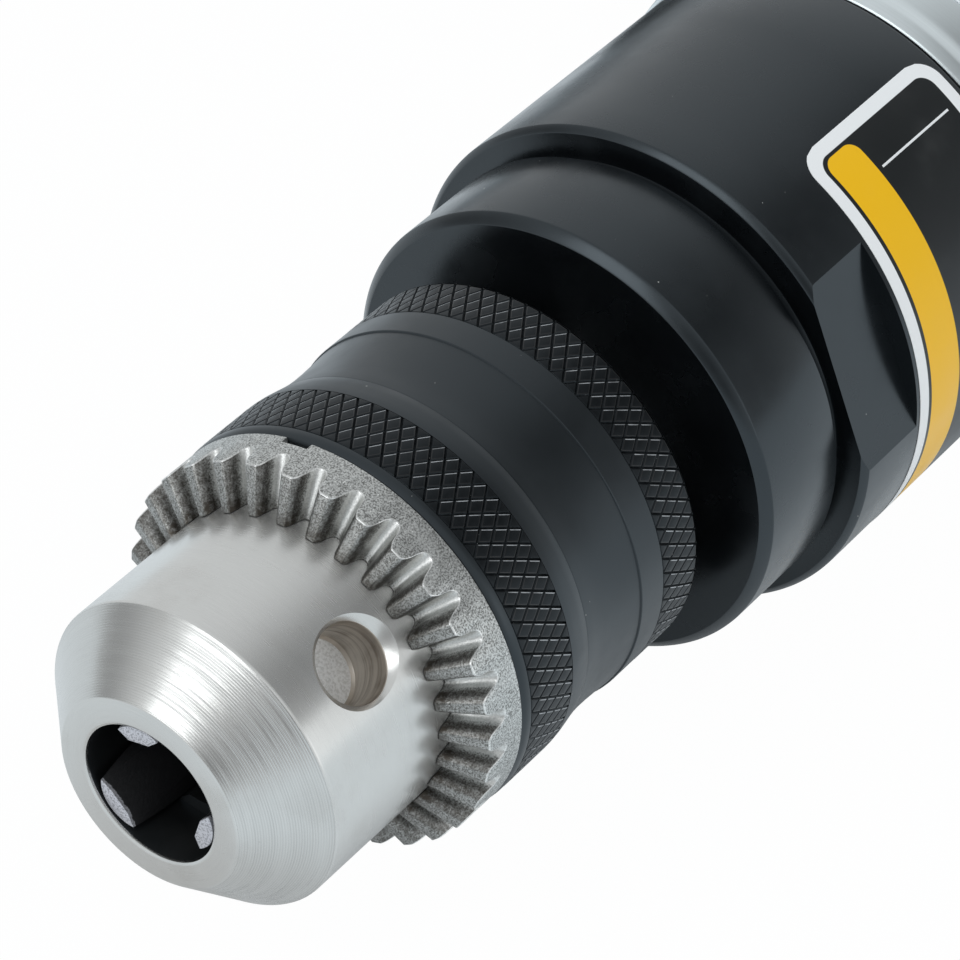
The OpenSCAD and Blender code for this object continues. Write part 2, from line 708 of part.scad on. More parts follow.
module chuck_spacer() {
    color("#9a9a96") spindle_frame() difference() {
        translate([0, 0, chuck_len + stack_gap])
            cylinder(r = spacer_r, h = spindle_front_brg_s - chuck_len - 2 * stack_gap);
        translate([0, 0, chuck_len - overrun])
            cylinder(r = spindle_front_brg[0], h = spindle_front_brg_s - chuck_len + 2 * overrun);
    }
}

module spindle_seal() {
    color("#202020") spindle_frame() difference() {
        translate([0, 0, case_front_s + 2 * stack_gap])
            cylinder(r = seal_r, h = seal_seat_len - 3 * stack_gap);
        translate([0, 0, case_front_s - overrun])
            cylinder(r = spacer_r + run_gap, h = seal_seat_len + 2 * overrun);
    }
}

module gear_case() {
    collar_back_s = case_front_s + collar_len;
    rear_seat_r = spindle_rear_brg[1] + seat_gap;
    front_seat_r = spindle_front_brg[1] + seat_gap;
    clip_back_s = clip_s + clip_t + stack_gap;
    carrier_bore_r = max(rear_seat_r, carrier_r + face_gap);
    color("#26282c") spindle_frame() difference() {
        rotate_extrude() {
            polygon([
                [seal_r + seat_gap, case_front_s], [collar_r - collar_bevel, case_front_s],
                [collar_r, case_front_s + collar_bevel], [collar_r, collar_back_s],
                [collar_r - undercut, collar_back_s], [collar_r - undercut, step_s],
                [case_r - step_bevel, step_s], [case_r - step_bevel, step_s + step_bevel],
                [case_r, step_s + step_bevel],
                [case_r, case_back_s - step_bevel], [case_r - step_bevel, case_back_s],
                [case_thread_r + seat_gap, case_back_s], [case_thread_r + seat_gap, case_thread_s],
                [ring_gear_r + seat_gap, case_thread_s], [ring_gear_r + seat_gap, ring_gear_s],
                [carrier_bore_r, ring_gear_s], [carrier_bore_r, carrier_s - face_gap],
                [rear_seat_r, carrier_s - face_gap], [rear_seat_r, clip_back_s],
                [rear_seat_r + clip_depth, clip_back_s], [rear_seat_r + clip_depth, clip_s - stack_gap / 2],
                [rear_seat_r, clip_s - stack_gap / 2], [rear_seat_r, spindle_rear_brg_s],
                [front_seat_r, spindle_rear_brg_s], [front_seat_r, spindle_front_brg_s],
                [seal_r + seat_gap, spindle_front_brg_s],
            ]);
            translate([case_r - step_bevel, step_s + step_bevel]) circle(r = step_bevel);
        }
        for (i = [0, 1]) rotate([0, 0, flat_turn + 180 * i])
            translate([flat_half, -case_r, step_s - overrun]) cube([case_r, 2 * case_r, flat_len + overrun]);
    }
}

module snap_ring() {
    ring_r = spindle_rear_brg[1] + clip_depth;
    lug_gap = 2 * clip_w;
    color("#707070") spindle_frame() translate([0, 0, clip_s]) difference() {
        cylinder(r = ring_r, h = clip_t);
        translate([0, 0, -overrun]) cylinder(r = ring_r - clip_w, h = clip_t + 2 * overrun);
        translate([0, -lug_gap / 2, -overrun]) cube([ring_r + overrun, lug_gap, clip_t + 2 * overrun]);
    }
}

// Section of a bearing race, between its bore or outer radius and the ball track
module race_section(inner_r, outer_r, brg) {
    difference() {
        translate([inner_r, 0]) square([outer_r - inner_r, brg[2]]);
        translate([(brg[0] + brg[1]) / 2, brg[2] / 2])
            circle(r = (brg[1] - brg[0]) * ball_share + ball_gap);
    }
}

module bearing_inner(brg, s) {
    color("#b8b8b6") spindle_frame() translate([0, 0, s]) rotate_extrude()
        race_section(brg[0], brg[0] + (brg[1] - brg[0]) * race_share, brg);
}

module bearing_outer(brg, s) {
    color("#b8b8b6") spindle_frame() translate([0, 0, s]) rotate_extrude()
        race_section(brg[1] - (brg[1] - brg[0]) * race_share, brg[1], brg);
}

module bearing_balls(brg, s) {
    pitch_r = (brg[0] + brg[1]) / 2;
    cage_t = (brg[1] - brg[0]) * ball_cage_share;
    cage_len = brg[2] * ball_cage_length_share;
    color("#a8a8a8") spindle_frame() translate([0, 0, s + brg[2] / 2]) {
        rotate_extrude() translate([pitch_r - cage_t / 2, -cage_len / 2]) square([cage_t, cage_len]);
        for (i = [0 : ball_count - 1]) rotate([0, 0, i * 360 / ball_count]) translate([pitch_r, 0, 0])
            sphere(r = (brg[1] - brg[0]) * ball_share);
    }
}

module spindle_front_bearing_inner() {
    bearing_inner(spindle_front_brg, spindle_front_brg_s);
}

module spindle_front_bearing_outer() {
    bearing_outer(spindle_front_brg, spindle_front_brg_s);
}

module spindle_front_bearing_balls() {
    bearing_balls(spindle_front_brg, spindle_front_brg_s);
}

module spindle_rear_bearing_inner() {
    bearing_inner(spindle_rear_brg, spindle_rear_brg_s);
}

module spindle_rear_bearing_outer() {
    bearing_outer(spindle_rear_brg, spindle_rear_brg_s);
}

module spindle_rear_bearing_balls() {
    bearing_balls(spindle_rear_brg, spindle_rear_brg_s);
}

module rotor_front_bearing_inner() {
    bearing_inner(rotor_front_brg, rotor_front_brg_s);
}

module rotor_front_bearing_outer() {
    bearing_outer(rotor_front_brg, rotor_front_brg_s);
}

module rotor_front_bearing_balls() {
    bearing_balls(rotor_front_brg, rotor_front_brg_s);
}

module rotor_rear_bearing_inner() {
    bearing_inner(rotor_rear_brg, rotor_rear_brg_s);
}

module rotor_rear_bearing_outer() {
    bearing_outer(rotor_rear_brg, rotor_rear_brg_s);
}

module rotor_rear_bearing_balls() {
    bearing_balls(rotor_rear_brg, rotor_rear_brg_s);
}

module planet_pins() {
    color("#c0c0be") spindle_frame() for (i = [0 : planet_count - 1]) rotate([0, 0, i * 360 / planet_count])
        translate([planet_orbit_r, 0, carrier_s + stack_gap])
            cylinder(r = planet_pin_r, h = retainer_s + retainer_t - carrier_s - stack_gap);
}

module planet_retainer() {
    color("#9c9c98") spindle_frame() translate([0, 0, retainer_s]) difference() {
        cylinder(r = carrier_r, h = retainer_t);
        translate([0, 0, -overrun])
            cylinder(r = planet_orbit_r - planet_pin_r - planet_bush_t, h = retainer_t + 2 * overrun);
        for (i = [0 : planet_count - 1]) rotate([0, 0, i * 360 / planet_count])
            translate([planet_orbit_r, 0, -overrun])
                cylinder(r = planet_pin_r + seat_gap, h = retainer_t + 2 * overrun);
    }
}

module planet_gear(i) {
    color("#a09c92") spindle_frame() rotate([0, 0, i * 360 / planet_count])
        translate([planet_orbit_r, 0, planet_s]) difference() {
            linear_extrude(height = planet_w) polygon(wheel_points(
                planet_teeth, planet_pitch_r + addendum_share * tooth_module,
                planet_pitch_r - dedendum_share * tooth_module, thin_half(planet_teeth)
            ));
            translate([0, 0, -overrun])
                cylinder(r = planet_pin_r + planet_bush_t + seat_gap, h = planet_w + 2 * overrun);
        }
}

module planet_gear_1() {
    planet_gear(0);
}

module planet_gear_2() {
    planet_gear(1);
}

module planet_gear_3() {
    planet_gear(2);
}

module planet_bush(i) {
    color("#b58b4a") spindle_frame() rotate([0, 0, i * 360 / planet_count])
        translate([planet_orbit_r, 0, planet_s]) difference() {
            cylinder(r = planet_pin_r + planet_bush_t, h = planet_w);
            translate([0, 0, -overrun]) cylinder(r = planet_pin_r + run_gap, h = planet_w + 2 * overrun);
        }
}

module planet_bush_1() {
    planet_bush(0);
}

module planet_bush_2() {
    planet_bush(1);
}

module planet_bush_3() {
    planet_bush(2);
}

module ring_gear() {
    color("#8c8c88") spindle_frame() translate([0, 0, ring_gear_s]) difference() {
        cylinder(r = ring_gear_r, h = ring_gear_len);
        translate([0, 0, -overrun]) linear_extrude(height = ring_gear_len + 2 * overrun)
            polygon(wheel_points(
                ring_teeth, ring_pitch_r + dedendum_share * tooth_module, ring_tip_r, wide_half(ring_teeth)
            ));
    }
}

// Hole for the dowel through a motor part that starts at s
module dowel_hole(s, length) {
    translate([0, -dowel_orbit_r, s - overrun]) cylinder(r = dowel_r + seat_gap, h = length + 2 * overrun);
}

module front_end_plate() {
    pinion_tip_r = sun_pitch_r + addendum_share * tooth_module;
    color("#7d7f80") spindle_frame() difference() {
        translate([0, 0, front_plate_s]) cylinder(r = cylinder_r, h = front_plate_t - stack_gap);
        translate([0, 0, rotor_front_brg_s - stack_gap])
            cylinder(r = rotor_front_brg[1] + seat_gap, h = rotor_front_brg[2] + overrun);
        translate([0, 0, front_plate_s - overrun])
            cylinder(r = pinion_tip_r + plate_hole_gap, h = front_plate_t + 2 * overrun);
        dowel_hole(front_plate_s, front_plate_t);
    }
}

module rear_end_plate() {
    color("#7d7f80") spindle_frame() difference() {
        translate([0, 0, rear_plate_s + stack_gap]) cylinder(r = cylinder_r, h = rear_plate_t - stack_gap);
        translate([0, 0, rotor_rear_brg_s - stack_gap])
            cylinder(r = rotor_rear_brg[1] + seat_gap, h = rotor_rear_brg[2] + overrun);
        translate([0, 0, rear_plate_s - overrun])
            cylinder(r = rotor_rear_brg[0] + plate_hole_gap, h = rear_plate_t + 2 * overrun);
        for (i = [0 : kidney_count - 1]) rotate([0, 0, 90 + (i + 1) * kidney_spread])
            translate([rotor_r - kidney_r, 0, rear_plate_s - overrun])
                cylinder(r = kidney_r, h = rear_plate_t + 2 * overrun);
        dowel_hole(rear_plate_s, rear_plate_t);
    }
}

module motor_cylinder() {
    port_s = cylinder_s + (cylinder_len - (port_count - 1) * port_pitch - port_w) / 2;
    color("#8a8a86") spindle_frame() difference() {
        translate([0, 0, cylinder_s]) cylinder(r = cylinder_r, h = cylinder_len);
        translate([0, cylinder_offset, cylinder_s - overrun])
            cylinder(r = cylinder_bore_r, h = cylinder_len + 2 * overrun);
        for (i = [0 : port_count - 1])
            translate([-cylinder_r - overrun, -port_len / 2, port_s + i * port_pitch])
                cube([cylinder_r, port_len, port_w]);
        dowel_hole(cylinder_s, cylinder_len);
    }
}

module cylinder_dowel() {
    reach_front = front_plate_t * dowel_len_share;
    reach_back = rear_plate_t * dowel_len_share;
    color("#c0c0be") spindle_frame() translate([0, -dowel_orbit_r, cylinder_s - reach_front])
        cylinder(r = dowel_r, h = reach_front + cylinder_len + reach_back);
}

module rotor() {
    shaft_back_s = rear_plate_s + rear_plate_t - stack_gap;
    body_back_s = rotor_body_s + rotor_body_len;
    pinion_back_s = rotor_front_brg_s - stack_gap / 2;
    color("#9a9a98") spindle_frame() {
        difference() {
            union() {
                translate([0, 0, rotor_body_s]) cylinder(r = rotor_r, h = rotor_body_len);
                translate([0, 0, rotor_front_brg_s - stack_gap])
                    cylinder(r = rotor_front_brg[0] - seat_gap, h = rotor_body_s - rotor_front_brg_s + overrun);
                translate([0, 0, body_back_s - overrun])
                    cylinder(r = rotor_rear_brg[0] - seat_gap, h = shaft_back_s - body_back_s + overrun);
                translate([0, 0, planet_s]) linear_extrude(height = pinion_back_s - planet_s)
                    polygon(wheel_points(
                        sun_teeth, sun_pitch_r + addendum_share * tooth_module,
                        sun_pitch_r - dedendum_share * tooth_module, thin_half(sun_teeth)
                    ));
            }
            for (i = [0 : vane_count - 1]) rotate([0, 0, i * 360 / vane_count])
                translate([rotor_r - vane_depth, -vane_t / 2 - slot_gap, rotor_body_s - overrun])
                    cube([vane_depth + overrun, vane_t + 2 * slot_gap, rotor_body_len + 2 * overrun]);
        }
    }
}

module rotor_vanes() {
    color("#6b5a3a") spindle_frame() for (i = [0 : vane_count - 1]) rotate([0, 0, i * 360 / vane_count])
        translate([rotor_r - vane_depth + slot_gap, -vane_t / 2, rotor_body_s])
            cube([vane_depth - slot_gap - vane_inset, vane_t, rotor_body_len]);
}

// Value of a power that keeps its sign
function signed_power(v, e) = sign(v) * pow(abs(v), e);
// Point of a handle section, at an angle round the handle
function handle_point(p, around) =
    let (drop = p[0] * handle_len)
    [
        p[2] * handle_width / 2 * signed_power(cos(around), handle_square_share),
        handle_s + drop * tan(handle_rake)
            + p[1] * handle_depth / 2 * signed_power(sin(around), handle_square_share),
        drop,
    ];

module handle_body() {
    rows = len(handle_section_shares);
    n = blend_fn;
    polyhedron(
        points = [for (p = handle_section_shares) for (j = [0 : n - 1]) handle_point(p, j * 360 / n)],
        faces = concat(
            [[for (j = [0 : n - 1]) j]],
            [for (k = [0 : rows - 2]) for (j = [0 : n - 1])
                [k * n + j, (k + 1) * n + j, (k + 1) * n + (j + 1) % n, k * n + (j + 1) % n]],
            [[for (j = [0 : n - 1]) rows * n - 1 - j]]
        )
    );
}

module housing() {
    spigot_s = case_thread_s + stack_gap;
    barrel_s = case_back_s + stack_gap;
    color("#a5acb0") difference() {
        union() {
            spindle_frame() rotate_extrude() {
                translate([0, spigot_s]) square([case_thread_r, barrel_back_s - spigot_s - barrel_round]);
                polygon([
                    [0, barrel_s], [barrel_r - barrel_bevel, barrel_s], [barrel_r, barrel_s + barrel_bevel],
                    [barrel_r, barrel_back_s - barrel_round], [0, barrel_back_s - barrel_round],
                ]);
                translate([0, barrel_s]) square([barrel_r - barrel_round, barrel_back_s - barrel_s]);
                intersection() {
                    translate([barrel_r - barrel_round, barrel_back_s - barrel_round]) circle(r = barrel_round);
                    square([barrel_r, barrel_back_s]);
                }
            }
            handle_frame() handle_body();
        }
        spindle_frame() {
            translate([0, 0, spigot_s - overrun])
                cylinder(r = motor_bore_r, h = motor_back_s - spigot_s + overrun);
            translate([0, 0, motor_back_s - overrun]) cylinder(r = chamber_r, h = chamber_len + overrun);
            translate([0, -throttle_drop, bush_s - handle_depth])
                cylinder(r = bush_r + seat_gap, h = handle_depth + bush_len);
            translate([0, -throttle_drop, supply_s])
                cylinder(r = throttle_r, h = cap_s - supply_s + overrun);
            translate([0, -throttle_drop, cap_s]) cylinder(r = cap_r + seat_gap, h = handle_depth);
        }
        handle_frame() {
            translate([0, supply_s + supply_len / 2, 0]) cylinder(r = supply_r, h = throttle_drop);
            translate([0, inlet_s, inlet_floor])
                cylinder(r = inlet_thread_r + seat_gap, h = handle_len);
            translate([0, inlet_s, inlet_floor - inlet_chamber_len])
                cylinder(r = screen_r + seat_gap, h = handle_len);
            translate([0, inlet_s, inlet_floor]) rotate([-feed_lean, 0, 180])
                translate([0, 0, -feed_len]) cylinder(r = feed_r, h = feed_len);
            for (side = [-1, 1]) translate([side * exhaust_side, exhaust_s, exhaust_start])
                rotate([-exhaust_lean, 0, 0]) cylinder(r = exhaust_r, h = exhaust_len);
            translate([-muffler_half_w, deflector_s - muffler_half_d, handle_len - muffler_depth])
                cube([2 * muffler_half_w, 2 * muffler_half_d, handle_len]);
            at_screws() translate([0, 0, -screw_len - stack_gap])
                cylinder(r = screw_r + seat_gap, h = screw_len + overrun);
        }
    }
}

module trigger() {
    corner_x = trigger_width / 2 - trigger_round;
    corner_y = trigger_height / 2 - trigger_round;
    corner_z = trigger_depth - trigger_round;
    color("#1c1d1f") spindle_frame() translate([0, -throttle_drop, trigger_s]) difference() {
        hull() for (x = [-corner_x, corner_x], y = [-corner_y, corner_y], z = [trigger_round, corner_z])
            translate([x, y, z]) sphere(r = trigger_round, $fn = blend_fn);
        translate([-trigger_width, 0, finger_depth - finger_r]) rotate([0, 90, 0])
            cylinder(r = finger_r, h = 2 * trigger_width);
        translate([0, 0, rod_front_s - trigger_s - stack_gap])
            cylinder(r = rod_r + seat_gap, h = trigger_depth);
        translate([-trigger_width, 0, trigger_pin_s - trigger_s]) rotate([0, 90, 0])
            cylinder(r = trigger_pin_r + seat_gap, h = 2 * trigger_width);
    }
}

module trigger_rod() {
    color("#b8b8b6") spindle_frame() translate([0, -throttle_drop, 0]) difference() {
        translate([0, 0, rod_front_s]) cylinder(r = rod_r, h = rod_back_s - rod_front_s);
        translate([-trigger_width / 2, 0, trigger_pin_s]) rotate([0, 90, 0])
            cylinder(r = trigger_pin_r + seat_gap, h = trigger_width);
    }
}

module trigger_pin() {
    pin_len = trigger_width * trigger_pin_len_share;
    color("#c0c0be") spindle_frame() translate([-pin_len / 2, -throttle_drop, trigger_pin_s]) rotate([0, 90, 0])
        cylinder(r = trigger_pin_r, h = pin_len);
}

module rod_bush() {
    color("#b58b4a") spindle_frame() translate([0, -throttle_drop, bush_s]) difference() {
        cylinder(r = bush_r, h = bush_len - stack_gap);
        translate([0, 0, -overrun]) cylinder(r = rod_r + run_gap, h = bush_len + 2 * overrun);
    }
}

module valve_seat() {
    color("#b58b4a") spindle_frame() translate([0, -throttle_drop, valve_seat_s]) difference() {
        cylinder(r = throttle_r - 2 * seat_gap, h = seat_len);
        translate([0, 0, -overrun]) cylinder(r = seat_hole_r, h = seat_len + 2 * overrun);
    }
}

module throttle_valve() {
    color("#3a3a3a") spindle_frame() translate([0, -throttle_drop, 0]) {
        translate([0, 0, valve_s]) cylinder(r = valve_r, h = valve_t);
        translate([0, 0, stem_front_s]) cylinder(r = stem_r, h = valve_s - stem_front_s + valve_t / 2);
    }
}

// Point of the spring wire: k steps along the coil, at an angle round the wire
function coil_point(k, around) =
    let (
        turn = k * 360 / spring_steps,
        rise = k * spring_len / (spring_turns * spring_steps),
        r = spring_r + spring_wire_r * cos(around)
    )
    [r * cos(turn), r * sin(turn), rise + spring_wire_r * sin(around)];

module valve_spring() {
    rings = spring_turns * spring_steps;
    color("#d0d0ce") spindle_frame() translate([0, -throttle_drop, spring_s]) polyhedron(
        points = [for (k = [0 : rings]) for (j = [0 : spring_sides - 1]) coil_point(k, j * 360 / spring_sides)],
        faces = concat(
            [[for (j = [0 : spring_sides - 1]) j]],
            [for (k = [0 : rings - 1]) for (j = [0 : spring_sides - 1])
                let (a = k * spring_sides, b = a + spring_sides, next = (j + 1) % spring_sides)
                [a + j, b + j, b + next, a + next]],
            [[for (j = [0 : spring_sides - 1]) rings * spring_sides + spring_sides - 1 - j]]
        )
    );
}

module valve_cap() {
    color("#8a8f92") spindle_frame() translate([0, -throttle_drop, cap_s + stack_gap]) difference() {
        cylinder(r = cap_r, h = cap_len);
        translate([0, 0, cap_len * socket_depth_share])
            cylinder(r = cap_socket_half / cos(30), h = cap_len, $fn = 6);
        translate([0, 0, cap_len / 4]) rotate_extrude() translate([cap_r, 0]) circle(r = ring_section_r);
    }
}

module valve_cap_ring() {
    ring_s = cap_s + stack_gap + cap_len / 4;
    color("#202020") spindle_frame() translate([0, -throttle_drop, ring_s]) intersection() {
        rotate_extrude() translate([cap_r, 0]) circle(r = ring_section_r - seat_gap);
        translate([0, 0, -cap_len / 2]) cylinder(r = cap_r, h = cap_len);
    }
}

module inlet_bushing() {
    color("#b9bcbd") handle_frame() translate([0, inlet_s, 0]) difference() {
        union() {
            translate([0, 0, inlet_floor + stack_gap])
                cylinder(r = inlet_thread_r, h = inlet_thread_len + ring_section_r);
            translate([0, 0, handle_len + ring_section_r])
                cylinder(r = inlet_hex_half / cos(30), h = inlet_hex_len, $fn = 6);
        }
        translate([0, 0, handle_len + ring_section_r + inlet_hex_len - hose_thread_len])
            cylinder(r = hose_thread_r, h = hose_thread_len + overrun);
        translate([0, 0, inlet_floor - overrun])
            cylinder(r = hose_thread_r * inlet_through_share, h = handle_len);
    }
}

module inlet_ring() {
    color("#202020") handle_frame() translate([0, inlet_s, handle_len + stack_gap]) difference() {
        cylinder(r = inlet_hex_half, h = ring_section_r - 2 * stack_gap);
        translate([0, 0, -overrun]) cylinder(r = inlet_thread_r + seat_gap, h = ring_section_r + 2 * overrun);
    }
}

module inlet_screen() {
    hole_r = hose_thread_r * inlet_through_share;
    color("#c8a860") handle_frame() translate([0, inlet_s, inlet_floor - screen_t]) difference() {
        cylinder(r = screen_r, h = screen_t);
        for (ring = [1, 2]) for (i = [0 : screen_ring_count * ring - 1])
            rotate([0, 0, i * 360 / (screen_ring_count * ring)])
                translate([hole_r * ring / 2 - screen_hole_r / 2, 0, -overrun])
                    cylinder(r = screen_hole_r, h = screen_t + 2 * overrun);
    }
}

// Screw places on the exhaust deflector
module at_screws() {
    screw_x = deflector_w / 2 * screw_pitch_share;
    for (side = [-1, 1]) translate([side * screw_x, deflector_s, handle_len]) children();
}

module exhaust_deflector() {
    half_w = deflector_w / 2 - deflector_round;
    half_d = deflector_d / 2 - deflector_round;
    first_slot = -(slot_count - 1) * slot_w - slot_w / 2;
    color("#2a2c2e") handle_frame() difference() {
        translate([0, deflector_s, handle_len + stack_gap]) {
            for (x = [-half_w, half_w], y = [-half_d, half_d])
                translate([x, y, 0]) cylinder(r = deflector_round, h = deflector_t);
            translate([-half_w, -deflector_d / 2, 0]) cube([2 * half_w, deflector_d, deflector_t]);
            translate([-deflector_w / 2, -half_d, 0]) cube([deflector_w, 2 * half_d, deflector_t]);
        }
        for (i = [0 : slot_count - 1])
            translate([first_slot + i * 2 * slot_w, deflector_s - slot_len / 2, handle_len])
                cube([slot_w, slot_len, deflector_t + overrun]);
        at_screws() translate([0, 0, -overrun])
            cylinder(r = screw_r + seat_gap, h = deflector_t + 2 * overrun);
    }
}

module muffler_pad() {
    w = 2 * (muffler_half_w - muffler_gap);
    d = 2 * (muffler_half_d - muffler_gap);
    color("#8f8a80") handle_frame()
        translate([-w / 2, deflector_s - d / 2, handle_len - muffler_depth / 2])
            cube([w, d, muffler_depth / 2]);
}

module deflector_screws() {
    color("#606060") handle_frame() at_screws() {
        translate([0, 0, deflector_t + 2 * stack_gap]) cylinder(r = screw_head_r, h = screw_head_t);
        translate([0, 0, -screw_len]) cylinder(r = screw_r, h = screw_len + deflector_t + screw_head_t);
    }
}

chuck_body();
chuck_jaw_1();
chuck_jaw_2();
chuck_jaw_3();
chuck_nut();
chuck_gear_ring();
chuck_sleeve();
spindle();
chuck_spacer();
spindle_seal();
gear_case();
snap_ring();
spindle_front_bearing_inner();
spindle_front_bearing_outer();
spindle_front_bearing_balls();
spindle_rear_bearing_inner();
spindle_rear_bearing_outer();
spindle_rear_bearing_balls();
planet_pins();
planet_retainer();
planet_gear_1();
planet_gear_2();
planet_gear_3();
planet_bush_1();
planet_bush_2();
planet_bush_3();
ring_gear();
front_end_plate();
rear_end_plate();
motor_cylinder();
cylinder_dowel();
rotor();
rotor_vanes();
rotor_front_bearing_inner();
rotor_front_bearing_outer();
rotor_front_bearing_balls();
rotor_rear_bearing_inner();
rotor_rear_bearing_outer();
rotor_rear_bearing_balls();
housing();
trigger();
trigger_rod();
trigger_pin();
rod_bush();
valve_seat();
throttle_valve();
valve_spring();
valve_cap();
valve_cap_ring();
inlet_bushing();
inlet_ring();
inlet_screen();
exhaust_deflector();
muffler_pad();
deflector_screws();
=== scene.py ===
"""Looks of an air drill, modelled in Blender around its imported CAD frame.

Every length in a class field is in millimetres; meshes are in metres. The spindle axis is X: a place s lies at
x = -s, and a turn is measured about the axis from +Z towards +Y.
"""

from __future__ import annotations

import logging
import math
from dataclasses import dataclass
from enum import Enum
from typing import Callable, Mapping, Sequence, Union

import bmesh
import bpy
from mathutils import Matrix, Vector

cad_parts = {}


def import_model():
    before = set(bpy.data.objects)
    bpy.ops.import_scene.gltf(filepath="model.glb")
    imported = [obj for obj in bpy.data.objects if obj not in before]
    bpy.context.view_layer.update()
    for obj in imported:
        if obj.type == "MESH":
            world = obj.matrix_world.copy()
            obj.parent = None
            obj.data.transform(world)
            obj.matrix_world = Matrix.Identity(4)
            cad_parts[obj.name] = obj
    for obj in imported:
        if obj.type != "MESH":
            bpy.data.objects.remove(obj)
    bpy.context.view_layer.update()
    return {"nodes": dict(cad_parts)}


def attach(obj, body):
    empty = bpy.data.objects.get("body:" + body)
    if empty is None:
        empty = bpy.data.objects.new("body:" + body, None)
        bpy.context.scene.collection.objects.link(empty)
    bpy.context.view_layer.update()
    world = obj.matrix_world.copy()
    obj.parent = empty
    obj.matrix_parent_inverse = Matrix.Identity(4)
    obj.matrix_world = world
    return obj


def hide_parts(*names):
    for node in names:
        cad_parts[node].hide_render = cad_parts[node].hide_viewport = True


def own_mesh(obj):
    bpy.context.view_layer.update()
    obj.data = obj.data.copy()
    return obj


LOG = logging.getLogger("air_drill")
Point = tuple[float, float, float]
Outline = Sequence[tuple[float, float]]
Colour = tuple[float, float, float]
Test = Callable[[object], bool]
MM = 0.001  # a millimetre in metres
NEAR = 0.0002  # points nearer than this are one, in millimetres
THIRD = 120.0  # degrees from one jaw or key hole to the next
HALF_TURN = 180.0
FULL_TURN = 360.0
FINE_STEPS = 240  # steps round a large turned piece
TURNED_STEPS = 128  # steps round a smaller one
DRILLED_STEPS = 96  # steps round a drill
ORIGIN: Point = (0.0, 0.0, 0.0)
FORWARDS: Point = (1.0, 0.0, 0.0)
BACKWARDS: Point = (-1.0, 0.0, 0.0)
HANDLE_WAY: Point = (0.0, -1.0, 0.0)
UPWARDS: Point = (0.0, 0.0, 1.0)
WHITE: Colour = (1.0, 1.0, 1.0)


def radial(turn: float) -> Vector:
    """Return the direction away from the spindle at a turn in degrees."""
    angle = math.radians(turn)
    return Vector((0.0, math.sin(angle), math.cos(angle)))


class Kind(Enum):
    """Mesh elements that can be picked in Edit Mode."""

    VERT = "VERT"
    EDGE = "EDGE"
    FACE = "FACE"


class Cut(Enum):
    """How one mesh acts on another."""

    DIFFERENCE = "DIFFERENCE"
    UNION = "UNION"
    INTERSECT = "INTERSECT"


class Axis(Enum):
    """Axis about which a surface was turned."""

    SPINDLE = "spindle"
    HANDLE = "handle"


